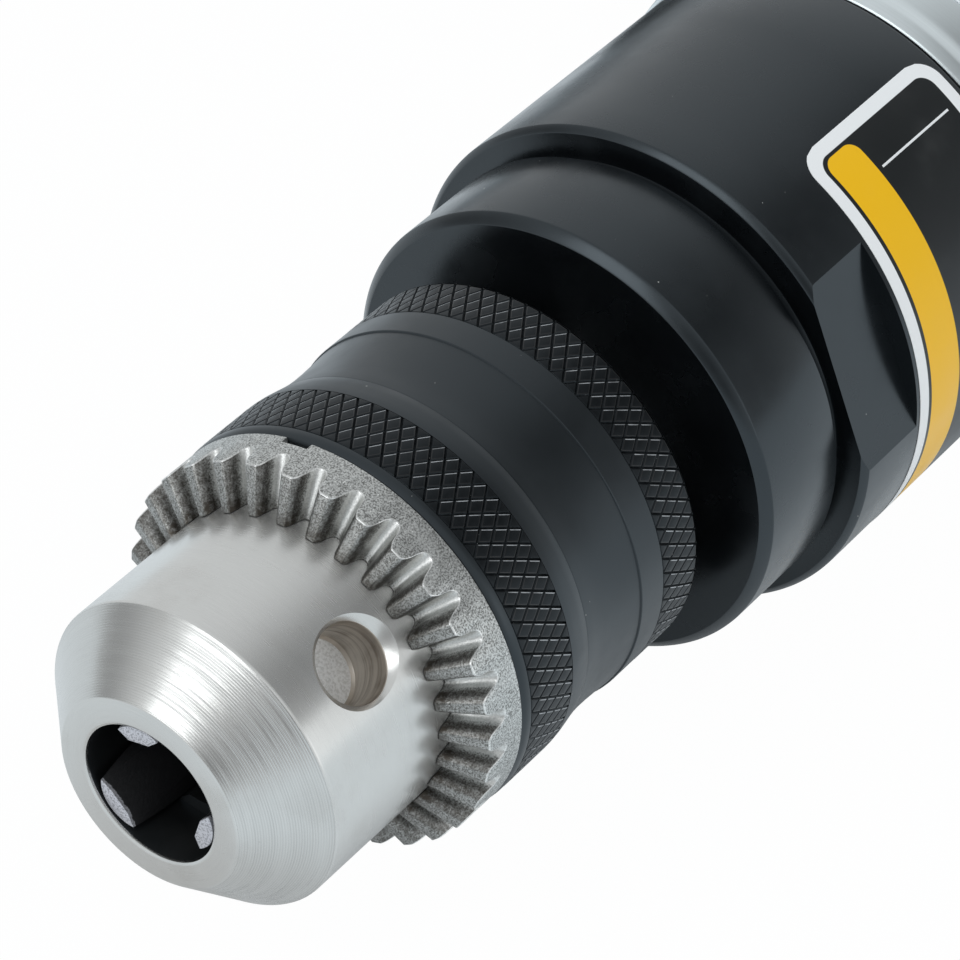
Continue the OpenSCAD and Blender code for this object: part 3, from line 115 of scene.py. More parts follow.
class Bench:
    """Edit Mode on one mesh object, used in a with block."""

    def __init__(self, piece: bpy.types.Object) -> None:
        """Take the mesh object to work on."""
        self.piece = piece

    def __enter__(self) -> "Bench":
        """Open Edit Mode with everything selected.

        Returns:
            The bench itself.
        """
        Shop.only(self.piece)
        bpy.ops.object.mode_set(mode="EDIT")
        self.everything()
        return self

    def __exit__(self, *_: object) -> None:
        """Close Edit Mode."""
        bpy.ops.object.mode_set(mode="OBJECT")

    def everything(self) -> None:
        """Select the whole mesh as vertices."""
        bpy.ops.mesh.select_mode(type="VERT")
        bpy.ops.mesh.select_all(action="SELECT")

    def pick(self, kind: Kind, test: Test) -> int:
        """Select the elements of one kind that pass a test.

        Args:
            kind: which elements are looked at.
            test: called with each bmesh element.

        Returns:
            How many were selected.
        """
        bpy.ops.mesh.select_mode(type=kind.value)
        bpy.ops.mesh.select_all(action="DESELECT")
        mesh = bmesh.from_edit_mesh(self.piece.data)
        items = {Kind.VERT: mesh.verts, Kind.EDGE: mesh.edges, Kind.FACE: mesh.faces}[kind]
        chosen = [item for item in items if test(item)]
        for item in chosen:
            item.select_set(True)
        mesh.select_flush_mode()
        bmesh.update_edit_mesh(self.piece.data, loop_triangles=False, destructive=False)
        return len(chosen)

    def pick_sharp(self, degrees: float, test: Callable[[Vector], bool] = lambda spot: True) -> int:
        """Select the edges whose two faces meet at more than an angle.

        Args:
            degrees: the least angle between the faces.
            test: called with the middle of each such edge.

        Returns:
            How many were selected.
        """
        least = math.radians(degrees)
        return self.pick(
            Kind.EDGE,
            lambda edge: len(edge.link_faces) == 2
            and edge.calc_face_angle(0.0) > least
            and test((edge.verts[0].co + edge.verts[1].co) / 2),
        )

    def extrude(self, step: Sequence[float] = ORIGIN) -> None:
        """Extrude the selection by a step in metres."""
        bpy.ops.mesh.extrude_region_move(TRANSFORM_OT_translate={"value": tuple(step)})

    def scale(self, factors: Sequence[float], centre: Sequence[float] = ORIGIN) -> None:
        """Scale the selection about a point in metres, by one factor along each axis."""
        bpy.ops.transform.resize(value=tuple(factors), center_override=tuple(centre))

    def grow(self, factors: Sequence[float], centre: Sequence[float] = ORIGIN) -> None:
        """Extrude the selection in place and scale what is new."""
        self.extrude()
        self.scale(factors, centre)

    def spin(self, steps: int, degrees: float, copies: bool = False) -> None:
        """Sweep the selection about the spindle axis through an angle, or repeat it there as copies."""
        bpy.ops.mesh.spin(steps=steps, dupli=copies, angle=math.radians(degrees), center=ORIGIN, axis=FORWARDS)

    def trim(self, spot: Sequence[float], normal: Sequence[float], fill: bool = True) -> None:
        """Cut the whole mesh by a plane and drop what lies in front of it."""
        self.everything()
        bpy.ops.mesh.bisect(plane_co=tuple(spot), plane_no=tuple(normal), use_fill=fill, clear_outer=True)

    def shorten(self, front: float, back: float, fill: bool = True) -> None:
        """Keep what lies between two places s, in millimetres."""
        self.trim((-front * MM, 0.0, 0.0), FORWARDS, fill)
        self.trim((-back * MM, 0.0, 0.0), BACKWARDS, fill)

    def bevel(self, width: float, segments: int = 2) -> None:
        """Bevel the selected edges to a width in millimetres."""
        bpy.ops.mesh.bevel(offset=width * MM, segments=segments, affect="EDGES", clamp_overlap=True)

    def weld(self, distance: float = 0.0008) -> None:
        """Merge doubles and turn every normal outwards.

        Args:
            distance: how near doubles lie, in millimetres.
        """
        self.everything()
        bpy.ops.mesh.remove_doubles(threshold=distance * MM)
        bpy.ops.mesh.normals_make_consistent(inside=False)


class Shop:
    """Object-level operations that the sub-assemblies share."""

    @staticmethod
    def only(*pieces: bpy.types.Object) -> None:
        """Select some objects and nothing else, the first one active.

        Args:
            pieces: the objects.
        """
        bpy.ops.object.select_all(action="DESELECT")
        for piece in pieces:
            piece.select_set(True)
        bpy.context.view_layer.objects.active = pieces[0]

    @staticmethod
    def add(name: str, primitive: Callable[..., object], **settings: object) -> bpy.types.Object:
        """Add a primitive with nothing else selected.

        Args:
            name: the new object's name.
            primitive: the operator that adds it.
            settings: the operator's own values.

        Returns:
            The new mesh object.
        """
        bpy.ops.object.select_all(action="DESELECT")
        primitive(**settings)
        piece = bpy.context.object
        piece.name = piece.data.name = name
        return piece

    @staticmethod
    def wire(name: str, points: Sequence[Point], closed: bool = False) -> bpy.types.Object:
        """Draw a chain of edges by extruding one vertex from point to point.

        Args:
            name: the new object's name.
            points: the chain, in metres.
            closed: join the last point to the first.

        Returns:
            The new mesh object.
        """
        piece = Shop.add(name, bpy.ops.mesh.primitive_plane_add, size=MM)
        with Bench(piece) as bench:
            bpy.ops.mesh.merge(type="CENTER")
            bpy.ops.transform.translate(value=points[0])
            for before, after in zip(points, points[1:]):
                bench.extrude([b - a for a, b in zip(before, after)])
            if closed:
                ends = [Vector(points[0]), Vector(points[-1])]
                bench.pick(Kind.VERT, lambda vert: min((vert.co - end).length for end in ends) < NEAR * MM)
                bpy.ops.mesh.edge_face_add()
        return piece

    @staticmethod
    def lathe(name: str, outline: Outline, steps: int = TURNED_STEPS, closed: bool = False) -> bpy.types.Object:
        """Turn an outline about the spindle axis.

        Args:
            name: the new object's name.
            outline: points (s, r) in millimetres.
            steps: how many steps in the turn.
            closed: join the last point to the first.

        Returns:
            The new mesh object.
        """
        piece = Shop.wire(name, [(-s * MM, 0.0, r * MM) for s, r in outline], closed)
        with Bench(piece) as bench:
            bench.spin(steps, FULL_TURN)
            bench.weld()
        return piece

    @staticmethod
    def prism(name: str, sides: int, radius: float, low: float, high: float) -> bpy.types.Object:
        """Make a prism along X from a primitive circle.

        Args:
            name: the new object's name.
            sides: how many sides.
            radius: the radius to a corner in millimetres.
            low: the lower end on X in millimetres.
            high: the higher end on X in millimetres.

        Returns:
            The new mesh object.
        """
        turn = (0.0, math.pi / 2, 0.0)
        circle = bpy.ops.mesh.primitive_circle_add
        piece = Shop.add(name, circle, vertices=sides, radius=radius * MM, fill_type="NGON", rotation=turn)
        Shop.settle(piece)
        with Bench(piece) as bench:
            bpy.ops.transform.translate(value=(low * MM, 0.0, 0.0))
            bench.extrude(((high - low) * MM, 0.0, 0.0))
            bench.weld()
        return piece

    @staticmethod
    def block(name: str, low: Point, high: Point) -> bpy.types.Object:
        """Make a box between two corners.

        Args:
            name: the new object's name.
            low: the lowest corner in millimetres.
            high: the highest corner in millimetres.

        Returns:
            The new mesh object.
        """
        piece = Shop.add(name, bpy.ops.mesh.primitive_cube_add, size=1.0)
        piece.scale = [(b - a) * MM for a, b in zip(low, high)]
        piece.location = [(a + b) / 2 * MM for a, b in zip(low, high)]
        Shop.settle(piece)
        return piece

    @staticmethod
    def settle(piece: bpy.types.Object) -> None:
        """Put an object's own transform into its mesh."""
        Shop.only(piece)
        bpy.ops.object.transform_apply(location=True, rotation=True, scale=True)

    @staticmethod
    def shift(piece: bpy.types.Object, offset: Point) -> bpy.types.Object:
        """Move a piece by an offset in millimetres, and return it."""
        piece.location = [part * MM for part in offset]
        Shop.settle(piece)
        return piece

    @staticmethod
    def place(piece: bpy.types.Object, axis: Sequence[float], origin: Sequence[float]) -> bpy.types.Object:
        """Turn a piece so that its X axis points a given way, and move its origin.

        Args:
            piece: the object, made about X.
            axis: the new direction of its X axis.
            origin: where its origin goes, in millimetres.

        Returns:
            The same object.
        """
        along = Vector(axis).normalized()
        helper = Vector(UPWARDS) if abs(along.z) < 0.9 else -Vector(HANDLE_WAY)
        side = helper.cross(along).normalized()
        turn = Matrix((along, side, along.cross(side))).transposed().to_4x4()
        piece.matrix_world = Matrix.Translation(Vector(origin) * MM) @ turn
        Shop.settle(piece)
        return piece

    @staticmethod
    def modify(piece: bpy.types.Object, kind: str, **settings: object) -> None:
        """Apply a modifier to a piece.

        Args:
            piece: the mesh object.
            kind: the modifier's type.
            settings: its properties.
        """
        Shop.only(piece)
        modifier = piece.modifiers.new(kind.lower(), kind)
        for name, value in settings.items():
            setattr(modifier, name, value)
        bpy.ops.object.modifier_apply(modifier=modifier.name)

    @staticmethod
    def carve(piece: bpy.types.Object, tool: bpy.types.Object, cut: Cut = Cut.DIFFERENCE) -> None:
        """Apply a boolean with a tool, which is then dropped."""
        Shop.modify(piece, "BOOLEAN", operation=cut.value, solver="EXACT", object=tool)
        bpy.data.objects.remove(tool, do_unlink=True)

    @staticmethod
    def mill(piece: bpy.types.Object, turn: float, low: Point, high: Point) -> None:
        """Cut a box out of a piece.

        Args:
            piece: the mesh that is changed.
            turn: the turn that the box faces, in degrees.
            low: its lowest corner in millimetres: out from the spindle, along it and across both.
            high: its highest corner.
        """
        out, along = radial(turn), Vector(FORWARDS)
        tool = Shop.block("mill", low, high)
        tool.matrix_world = Matrix((out, along, out.cross(along))).transposed().to_4x4()
        Shop.settle(tool)
        Shop.carve(piece, tool)

    @staticmethod
    def join(*pieces: bpy.types.Object) -> bpy.types.Object:
        """Join objects into the first one.

        Args:
            pieces: the objects.

        Returns:
            The first object.
        """
        Shop.only(*pieces)
        bpy.ops.object.join()
        return pieces[0]

    @staticmethod
    def paint(piece: bpy.types.Object, finish: "Finish", test: Test) -> None:
        """Give some faces of a dressed piece another finish.

        Args:
            piece: the mesh object.
            finish: the other finish.
            test: called with each face.
        """
        piece.data.materials.append(finish.material())
        piece.active_material_index = len(piece.data.materials) - 1
        with Bench(piece) as bench:
            bench.pick(Kind.FACE, test)
            bpy.ops.object.material_slot_assign()

    @staticmethod
    def dress(piece: bpy.types.Object, body: str, finish: "Finish", degrees: float = 30.0) -> None:
        """Shade a modelled piece, give it a finish and set it on its body.

        Args:
            piece: the mesh object.
            body: the CAD body that it rides on.
            finish: its finish.
            degrees: edges sharper than this stay sharp.
        """
        Shop.only(piece)
        bpy.ops.object.shade_smooth_by_angle(angle=math.radians(degrees))
        piece.data.materials.clear()
        piece.data.materials.append(finish.material())
        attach(piece, body)
        LOG.info("piece %s on %s, %d faces", piece.name, body, len(piece.data.polygons))

    @staticmethod
    def finish(
        piece: bpy.types.Object, body: str, slot: str, finish: "Finish", nodes: Sequence[str], degrees: float = 30.0
    ) -> None:
        """Dress a piece that stands for CAD nodes.

        Args:
            piece: the mesh object.
            body: the CAD body that it rides on.
            slot: the record's material slot; not used.
            finish: its finish.
            nodes: the CAD nodes that it stands for.
            degrees: edges sharper than this stay sharp.
        """
        Shop.dress(piece, body, finish, degrees)
        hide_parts(*nodes)


def maths(operation: str, reflected: bool = False) -> Callable[..., "Expr"]:
    """Make an operator of Expr.

    Args:
        operation: the operation of its Math node.
        reflected: put the other value first.

    Returns:
        The method.
    """

    def method(self: "Expr", *others: "Operand") -> "Expr":
        """Add the Math node and return its result."""
        return self.graph.math(operation, *((*others, self) if reflected else (self, *others)))

    return method


class Expr:
    """A node socket with arithmetic: each operation adds a Math node to its graph."""

    __add__ = maths("ADD")
    __radd__ = maths("ADD", reflected=True)
    __sub__ = maths("SUBTRACT")
    __rsub__ = maths("SUBTRACT", reflected=True)
    __mul__ = maths("MULTIPLY")
    __rmul__ = maths("MULTIPLY", reflected=True)
    __truediv__ = maths("DIVIDE")
    __rtruediv__ = maths("DIVIDE", reflected=True)
    __pow__ = maths("POWER")
    __abs__ = maths("ABSOLUTE")
    __lt__ = maths("LESS_THAN")
    __gt__ = maths("GREATER_THAN")
    least = maths("MINIMUM")
    most = maths("MAXIMUM")

    def __init__(self, graph: "Graph", socket: bpy.types.NodeSocket) -> None:
        """Wrap an output socket of a graph."""
        self.graph = graph
        self.socket = socket

    def __neg__(self) -> "Expr":
        """Return the negative."""
        return self * -1.0

    def in_mm(self) -> "Expr":
        """Return a length in metres as millimetres."""
        return self * (1.0 / MM)

    def ramp(self, low: float, high: float, start: float = 0.0, end: float = 1.0) -> "Expr":
        """Map a range smoothly onto another one.

        Args:
            low: the value that gives start.
            high: the value that gives end.
            start: the first result.
            end: the last result.

        Returns:
            The mapped value, clamped.
        """
        return self.graph.add(
            "ShaderNodeMapRange",
            {"interpolation_type": "SMOOTHSTEP"},
            {"Value": self, "From Min": low, "From Max": high, "To Min": start, "To Max": end},
        )


Operand = Union[Expr, float]


class Graph:
    """A node tree under construction."""

    def __init__(self, tree: bpy.types.NodeTree) -> None:
        """Take a node tree and empty it."""
        self.tree = tree
        self.tree.nodes.clear()

    def add(
        self,
        kind: str,
        settings: Mapping[str, object] | None = None,
        values: Mapping[Union[str, int], object] | None = None,
        output: Union[str, int] = 0,
    ) -> Expr:
        """Add a node.

        Args:
            kind: the node's type.
            settings: its properties.
            values: its inputs, each an Expr or a constant.
            output: which output is returned.

        Returns:
            The chosen output.
        """
        node = self.tree.nodes.new(kind)
        for name, value in (settings or {}).items():
            setattr(node, name, value)
        for name, value in (values or {}).items():
            if isinstance(value, Expr):
                self.tree.links.new(value.socket, node.inputs[name])
            else:
                node.inputs[name].default_value = value
        return Expr(self, node.outputs[output])

    def math(self, operation: str, *values: Operand) -> Expr:
        """Add a Math node and return its result."""
        return self.add("ShaderNodeMath", {"operation": operation}, dict(enumerate(values)))

    def twin(self, expr: Expr, output: Union[str, int]) -> Expr:
        """Return another output of the node behind a socket."""
        return Expr(self, expr.socket.node.outputs[output])

    def place(self) -> tuple[Expr, Expr, Expr, Expr]:
        """Return the object coordinates as a vector and as x, y and z."""
        spot = self.add("ShaderNodeTexCoord", output="Object")
        x = self.add("ShaderNodeSeparateXYZ", values={0: spot})
        return spot, x, self.twin(x, 1), self.twin(x, 2)

    def reach(self) -> Expr:
        """Return the distance from the spindle axis in metres."""
        _, _, y, z = self.place()
        return (y * y + z * z) ** 0.5

    def vector(self, x: Operand, y: Operand, z: Operand) -> Expr:
        """Return a vector of three values."""
        return self.add("ShaderNodeCombineXYZ", values={0: x, 1: y, 2: z})

    def noise(self, spot: Expr, size: float, detail: float = 2.0, rough: float = 0.5) -> Expr:
        """Return fractal noise.

        Args:
            spot: where, in metres.
            size: the size of its features in millimetres.
            detail: its octaves.
            rough: the share of the finer octaves.

        Returns:
            A value about 0.5.
        """
        return self.add(
            "ShaderNodeTexNoise",
            values={"Vector": spot, "Scale": 1.0 / (size * MM), "Detail": detail, "Roughness": rough},
        )

    def specks(self, spot: Expr, cell: float, size: float, share: float) -> Expr:
        """Return a mask of scattered dots.

        Args:
            spot: where, in metres.
            cell: the grid of the dots in millimetres.
            size: the radius of the largest dot as a share of the cell.
            share: the share of cells that carry a dot.

        Returns:
            1 in a dot and 0 elsewhere.
        """
        near = self.add("ShaderNodeTexVoronoi", values={"Vector": spot, "Scale": 1.0 / (cell * MM)})
        chance = self.add("ShaderNodeSeparateColor", values={0: self.twin(near, "Color")})
        radius = self.twin(chance, 1) * size
        return (near < radius) * (chance < share)

    def mix(self, factor: Operand, low: object, high: object) -> Expr:
        """Mix two colours.

        Args:
            factor: 0 gives the first, 1 the second.
            low: a colour or an Expr.
            high: a colour or an Expr.

        Returns:
            The mixed colour.
        """
        colour = [value if isinstance(value, Expr) else (*value, 1.0) for value in (low, high)]
        return self.add(
            "ShaderNodeMix",
            {"data_type": "RGBA", "clamp_factor": True},
            {0: factor, 6: colour[0], 7: colour[1]},
            output=2,
        )

    def bump(self, height: Expr, microns: float, normal: Expr | None = None) -> Expr:
        """Turn a height into a normal.

        Args:
            height: the height, 0 to 1.
            microns: what a height of 1 is worth.
            normal: a normal to build on.

        Returns:
            The normal.
        """
        values: dict[Union[str, int], object] = {"Height": height, "Strength": 1.0, "Distance": microns * 1e-6}
        if normal is not None:
            values["Normal"] = normal
        return self.add("ShaderNodeBump", values=values)

    def turned(self, axis: Axis, drop: float = 0.0) -> Expr:
        """Return coordinates in which a turning mark is a line round the axis.

        Args:
            axis: the axis of the turning.
            drop: how far that axis lies from the spindle, in millimetres.

        Returns:
            A vector whose first value runs across the marks.
        """
        _, x, y, z = self.place()
        if axis is Axis.SPINDLE:
            along, side, up = x, y + drop * MM, z
        else:
            along, side, up = y, x + drop * MM, z
        across = (side * side + up * up) ** 0.5
        return self.vector(along - across * 0.8, side * 0.02, up * 0.02)

    def principled(self, values: Mapping[Union[str, int], object]) -> None:
        """Close the tree with a Principled shader.

        Args:
            values: its inputs; a colour may be given as three numbers.
        """
        ready = {
            name: (*value, 1.0) if isinstance(value, tuple) and len(value) == 3 else value
            for name, value in values.items()
        }
        self.out(self.add("ShaderNodeBsdfPrincipled", values=ready))

    def out(self, shader: Expr) -> None:
        """Link a shader to the material output."""
        node = self.tree.nodes.new("ShaderNodeOutputMaterial")
        self.tree.links.new(shader.socket, node.inputs["Surface"])


@dataclass(frozen=True)
class Finish:
    """A surface finish: a name, and a material that is built once."""

    name: str

    def material(self) -> bpy.types.Material:
        """Build the finish's material on the first call.

        Returns:
            The material.
        """
        found = bpy.data.materials.get("finish_" + self.name)
        if found is None:
            found = bpy.data.materials.new("finish_" + self.name)
            found.use_nodes = True
            self.draw(Graph(found.node_tree))
        return found

    def draw(self, graph: Graph) -> None:
        """Build the shader in a material's graph."""
        raise NotImplementedError

    def shade(self, graph: Graph, tone: Expr) -> Expr:
        """Return the colour that shows, from the colour so far."""
        return tone


@dataclass(frozen=True)
class Turned(Finish):
    """Bare turned metal with fine marks round its axis."""

    tint: Colour = (0.635, 0.63, 0.61)
    rough: float = 0.26
    pitch: float = 0.05
    depth: float = 0.35
    axis: Axis = Axis.SPINDLE
    drop: float = 0.0
    stain: Colour = (0.46, 0.44, 0.41)
    metallic: float = 1.0

    def draw(self, graph: Graph) -> None:
        """Build the shader.

        Args:
            graph: the material's graph.
        """
        spot, *_ = graph.place()
        lines = graph.turned(self.axis, self.drop)
        fine = graph.noise(lines, self.pitch, 3.0, 0.6)
        broad = graph.noise(lines, self.pitch * 9.0, 1.0)
        cloud = graph.noise(spot, 5.0, 3.0)
        marks = graph.specks(spot, 1.3, 0.07, 0.18)
        tone = graph.mix(cloud.ramp(0.5, 0.8, 0.0, 0.3), self.tint, self.stain)
        tone = graph.mix(fine.ramp(0.35, 0.8, 0.0, 0.14), tone, tuple(0.6 * part for part in self.tint))
        tone = graph.mix(marks * 0.4, tone, self.stain)
        graph.principled(
            {
                "Base Color": self.shade(graph, tone),
                "Metallic": self.metal(graph),
                "Roughness": fine * 0.1 + broad * 0.06 + cloud * 0.08 + (self.rough - 0.12),
                "Normal": self.relief(graph, graph.bump(fine * 0.75 + broad * 0.4, self.depth)),
            }
        )

    def metal(self, graph: Graph) -> Operand:
        """Return the share of bare metal."""
        return self.metallic

    def relief(self, graph: Graph, normal: Expr) -> Expr:
        """Return the normal with every mark, from the normal with the fine ones."""
        return normal


@dataclass(frozen=True)
class TurnedCone(Turned):
    """Turned metal whose front cone keeps the feed marks of the lathe tool."""

    cone_len: float = 5.5
    cone_from: float = 9.1
    feed: float = 0.215
    feed_depth: float = 24.0
    groove: Colour = (0.30, 0.30, 0.295)

    def metal(self, graph: Graph) -> Operand:
        """Return the share of bare metal: the cone is the cleanest part."""
        _, x, *_ = graph.place()
        return 1.0 - (x < -self.cone_len * MM) * (1.0 - self.metallic)

    def feed_marks(self, graph: Graph) -> Expr:
        """Return the height of the feed marks, 0 to 1, on the cone only.

        Args:
            graph: the material's graph.

        Returns:
            The height.
        """
        _, x, y, z = graph.place()
        out = graph.reach()
        cone = (x > -self.cone_len * MM) * (out > self.cone_from * MM)
        slant = (out - x) * (math.sqrt(0.5) / (self.feed * MM))
        wave = graph.math("SINE", slant * (2.0 * math.pi)) * 0.5 + 0.5
        uneven = graph.noise(graph.vector(slant * MM, y * 0.1, z * 0.1), 1.6, 3.0, 0.65)
        return wave * cone * uneven.ramp(0.3, 0.68, 0.3, 1.0) * y.ramp(-5.0 * MM, 4.0 * MM, 0.3, 1.0)

    def shade(self, graph: Graph, tone: Expr) -> Expr:
        """Return the colour with darker feed marks."""
        return graph.mix(self.feed_marks(graph) * 0.35, tone, self.groove)

    def relief(self, graph: Graph, normal: Expr) -> Expr:
        """Return the normal with the feed marks on it."""
        return graph.bump(self.feed_marks(graph), self.feed_depth, normal)


@dataclass(frozen=True)
class Bored(Finish):
    """The wall of a drilled hole, with rings across it and old oil on it."""

    tint: Colour = (0.58, 0.53, 0.47)
    oil: Colour = (0.17, 0.135, 0.105)
    pitch: float = 0.35
    metallic: float = 0.85

    def draw(self, graph: Graph) -> None:
        """Build the shader.

        Args:
            graph: the material's graph.
        """
        spot, x, y, _ = graph.place()
        rings = graph.noise(graph.vector(graph.reach(), x * 0.05, y * 0.05), self.pitch, 3.0, 0.6)
        cloud = graph.noise(spot, 2.5, 3.0)
        tone = graph.mix(rings.ramp(0.45, 0.7, 0.0, 0.5) + cloud.ramp(0.45, 0.8, 0.0, 0.5), self.tint, self.oil)
        graph.principled(
            {
                "Base Color": tone,
                "Metallic": self.metallic,
                "Roughness": cloud.ramp(0.3, 0.7, 0.28, 0.44),
                "Normal": graph.bump(rings, 9.0),
            }
        )


@dataclass(frozen=True)
class Jaw(Finish):
    """A hardened jaw: black oxide with a bright worn tip."""

    tip_s: float = 0.75
    bright: Colour = (0.62, 0.62, 0.66)
    black: Colour = (0.012, 0.012, 0.013)
    pit: Colour = (0.22, 0.22, 0.235)

    def draw(self, graph: Graph) -> None:
        """Build the shader.

        Args:
            graph: the material's graph.
        """
        spot, x, *_ = graph.place()
        rub = graph.noise(spot, 0.5, 4.0, 0.65)
        pits = graph.noise(spot, 0.18, 2.0)
        tip = (x.in_mm() + self.tip_s + (rub - 0.5) * 0.5).ramp(0.0, 0.1)
        worn = graph.mix(pits.ramp(0.45, 0.65, 0.0, 0.7), self.bright, self.pit)
        graph.principled(
            {
                "Base Color": graph.mix(tip, self.black, worn),
                "Metallic": tip * 0.75,
                "Roughness": pits.ramp(0.3, 0.7, 0.36, 0.52),
                "Normal": graph.bump(rub * 0.6 + pits * 0.4, 16.0),
            }
        )


@dataclass(frozen=True)
class Grained(Finish):
    """Metal with an even grain: sintered, blasted or cast."""

    tint: Colour = (0.375, 0.375, 0.36)
    light: Colour = (0.58, 0.58, 0.56)
    dark: Colour = (0.24, 0.24, 0.23)
    rough: float = 0.44
    grain: float = 0.14
    depth: float = 12.0
    metallic: float = 1.0

    def draw(self, graph: Graph) -> None:
        """Build the shader.

        Args:
            graph: the material's graph.
        """
        spot, *_ = graph.place()
        grain = graph.noise(spot, self.grain, 2.0, 0.55)
        pits = graph.noise(spot, self.grain * 0.45, 1.0)
        cloud = graph.noise(spot, 4.0, 3.0)
        glint = graph.specks(spot, self.grain * 1.1, 0.4, 0.25)
        tone = graph.mix(grain.ramp(0.34, 0.62), self.dark, self.tint)
        tone = graph.mix(glint * 0.5 + cloud.ramp(0.5, 0.85, 0.0, 0.25), tone, self.light)
        graph.principled(
            {
                "Base Color": self.shade(graph, tone),
                "Metallic": self.metallic,
                "Roughness": pits.ramp(0.25, 0.75, self.rough - 0.1, self.rough + 0.12),
                "Normal": graph.bump(grain * 0.7 + pits * 0.3, self.depth),
            }
        )


@dataclass(frozen=True)
class Toothed(Grained):
    """Sintered bevel teeth: light lands, roots with a painted highlight, and flanks and inner gap ends darkened by
    painted shade with old grease.
    """

    apex_s: float = 13.2
    tip_cone: float = 70.8
    root_cone: float = 64.8
    bore_r: float = 14.55
    ring_r: float = 18.6
    # painted shade with old grease: the colour of the flanks and the inner ends of the gaps
    grease_and_shade: Colour = (0.075, 0.066, 0.056)
    # painted highlight on the roots of the gaps
    bright: Colour = (0.72, 0.72, 0.70)

    def shade(self, graph: Graph, tone: Expr) -> Expr:
        """Paint shade with old grease on the flanks and the inner ends of the gaps, and paint a highlight on the
        roots.

        Args:
            graph: the material's graph.
            tone: the colour of the grain.

        Returns:
            The colour that shows.
        """
        spot, x, *_ = graph.place()
        out = graph.reach()
        angle = graph.math("ARCTAN2", out, -x - self.apex_s * MM) * math.degrees(1.0)
        low = (self.tip_cone - angle) / (self.tip_cone - self.root_cone)
        front = out < (self.ring_r - 0.02) * MM
        rub = graph.noise(spot, 0.45, 3.0, 0.65).ramp(0.3, 0.65, 0.55, 1.0)
        # painted shade with grease, strongest at the inner ends of the gaps next to the bore
        inner = out.in_mm().ramp(self.bore_r, self.bore_r + 1.5, 1.0, 0.0)
        # painted shade with grease on the flanks of the gaps
        flank = low.ramp(0.08, 0.3) * low.ramp(0.68, 0.93, 1.0, 0.0)
        tone = graph.mix((flank * 0.78 + inner * (low.ramp(0.0, 0.4) * 0.3 + 0.1)) * front * rub, tone, self.grease_and_shade)
        # painted highlight on the roots of the gaps, kept off their inner ends
        return graph.mix(low.ramp(0.86, 0.98, 0.0, 0.7) * front * (1.0 - inner), tone, self.bright)


@dataclass(frozen=True)
class Coated(Finish):
    """Dark oxide, paint, plastic or rubber: a thin dull coat with dust and rubbed places."""

    tint: Colour = (0.0024, 0.003, 0.0036)
    worn: Colour = (0.006, 0.0072, 0.0085)
    cast: Colour = (0.80, 0.92, 1.0)
    rough: float = 0.34
    grain: float = 0.09
    depth: float = 1.6
    dust: float = 0.1
    dust_tone: Colour = (0.42, 0.42, 0.40)
    lines: bool = False
    gloss: float = 0.62

    def draw(self, graph: Graph) -> None:
        """Build the shader.

        Args:
            graph: the material's graph.
        """
        spot, *_ = graph.place()
        grain = graph.noise(graph.turned(Axis.SPINDLE) if self.lines else spot, self.grain, 2.0, 0.55)
        fine = graph.noise(spot, self.grain * 0.5, 1.0)
        cloud = graph.noise(spot, 7.0, 4.0, 0.6)
        tone = graph.mix(cloud.ramp(0.45, 0.85, 0.0, 0.5), self.tint, self.worn)
        tone = graph.mix(fine.ramp(0.6, 0.9, 0.0, 0.3), tone, self.worn)
        dots = graph.specks(spot, 0.9, 0.085, self.dust)
        tone = graph.mix(dots * 0.8, tone, self.dust_tone)
        graph.principled(
            {
                "Base Color": tone,
                "Metallic": 0.0,
                "Specular IOR Level": self.gloss,
                "Specular Tint": self.cast,
                "Roughness": cloud.ramp(0.25, 0.8, self.rough - 0.05, self.rough + 0.08) + dots * 0.3,
                "Normal": graph.bump(grain * 0.7 + fine * 0.3, self.depth),
            }
        )


@dataclass(frozen=True)
class Knurled(Finish):
    """Black oxide on a knurl: dark pads, groove sides lightened by a painted highlight with rubbed wear, and a little
    dust.
    """

    front_r: float = 18.7
    rear_r: float = 18.45
    parting_s: float = 38.0
    tint: Colour = (0.0012, 0.0015, 0.0019)
    # lighter colour of the groove sides: painted highlight with rubbed wear
    side: Colour = (0.014, 0.0155, 0.0175)
    dust: Colour = (0.30, 0.30, 0.29)
    cast: Colour = (0.80, 0.92, 1.0)
    gloss: float = 0.3

    def draw(self, graph: Graph) -> None:
        """Build the shader.

        Args:
            graph: the material's graph.
        """
        spot, x, *_ = graph.place()
        out = graph.reach().in_mm()
        rear = x < -self.parting_s * MM
        low = self.front_r - rear * (self.front_r - self.rear_r) - out
        rub = graph.noise(spot, 0.7, 3.0, 0.6)
        fine = graph.noise(spot, 0.06, 2.0)
        # groove sides below the pads take the lighter colour: painted highlight, broken up by rubbed wear
        edge = low.ramp(0.03, 0.09) * rub.ramp(0.35, 0.7)
        dots = graph.specks(spot, 0.32, 0.2, 0.14) * low.ramp(0.03, 0.1)
        tone = graph.mix(edge * 0.8, self.tint, self.side)
        tone = graph.mix(dots * 0.8, tone, self.dust)
        graph.principled(
            {
                "Base Color": tone,
                "Specular IOR Level": self.gloss,
                "Specular Tint": self.cast,
                "Roughness": rub.ramp(0.3, 0.7, 0.32, 0.44),
                "Normal": graph.bump(fine, 2.0),
            }
        )


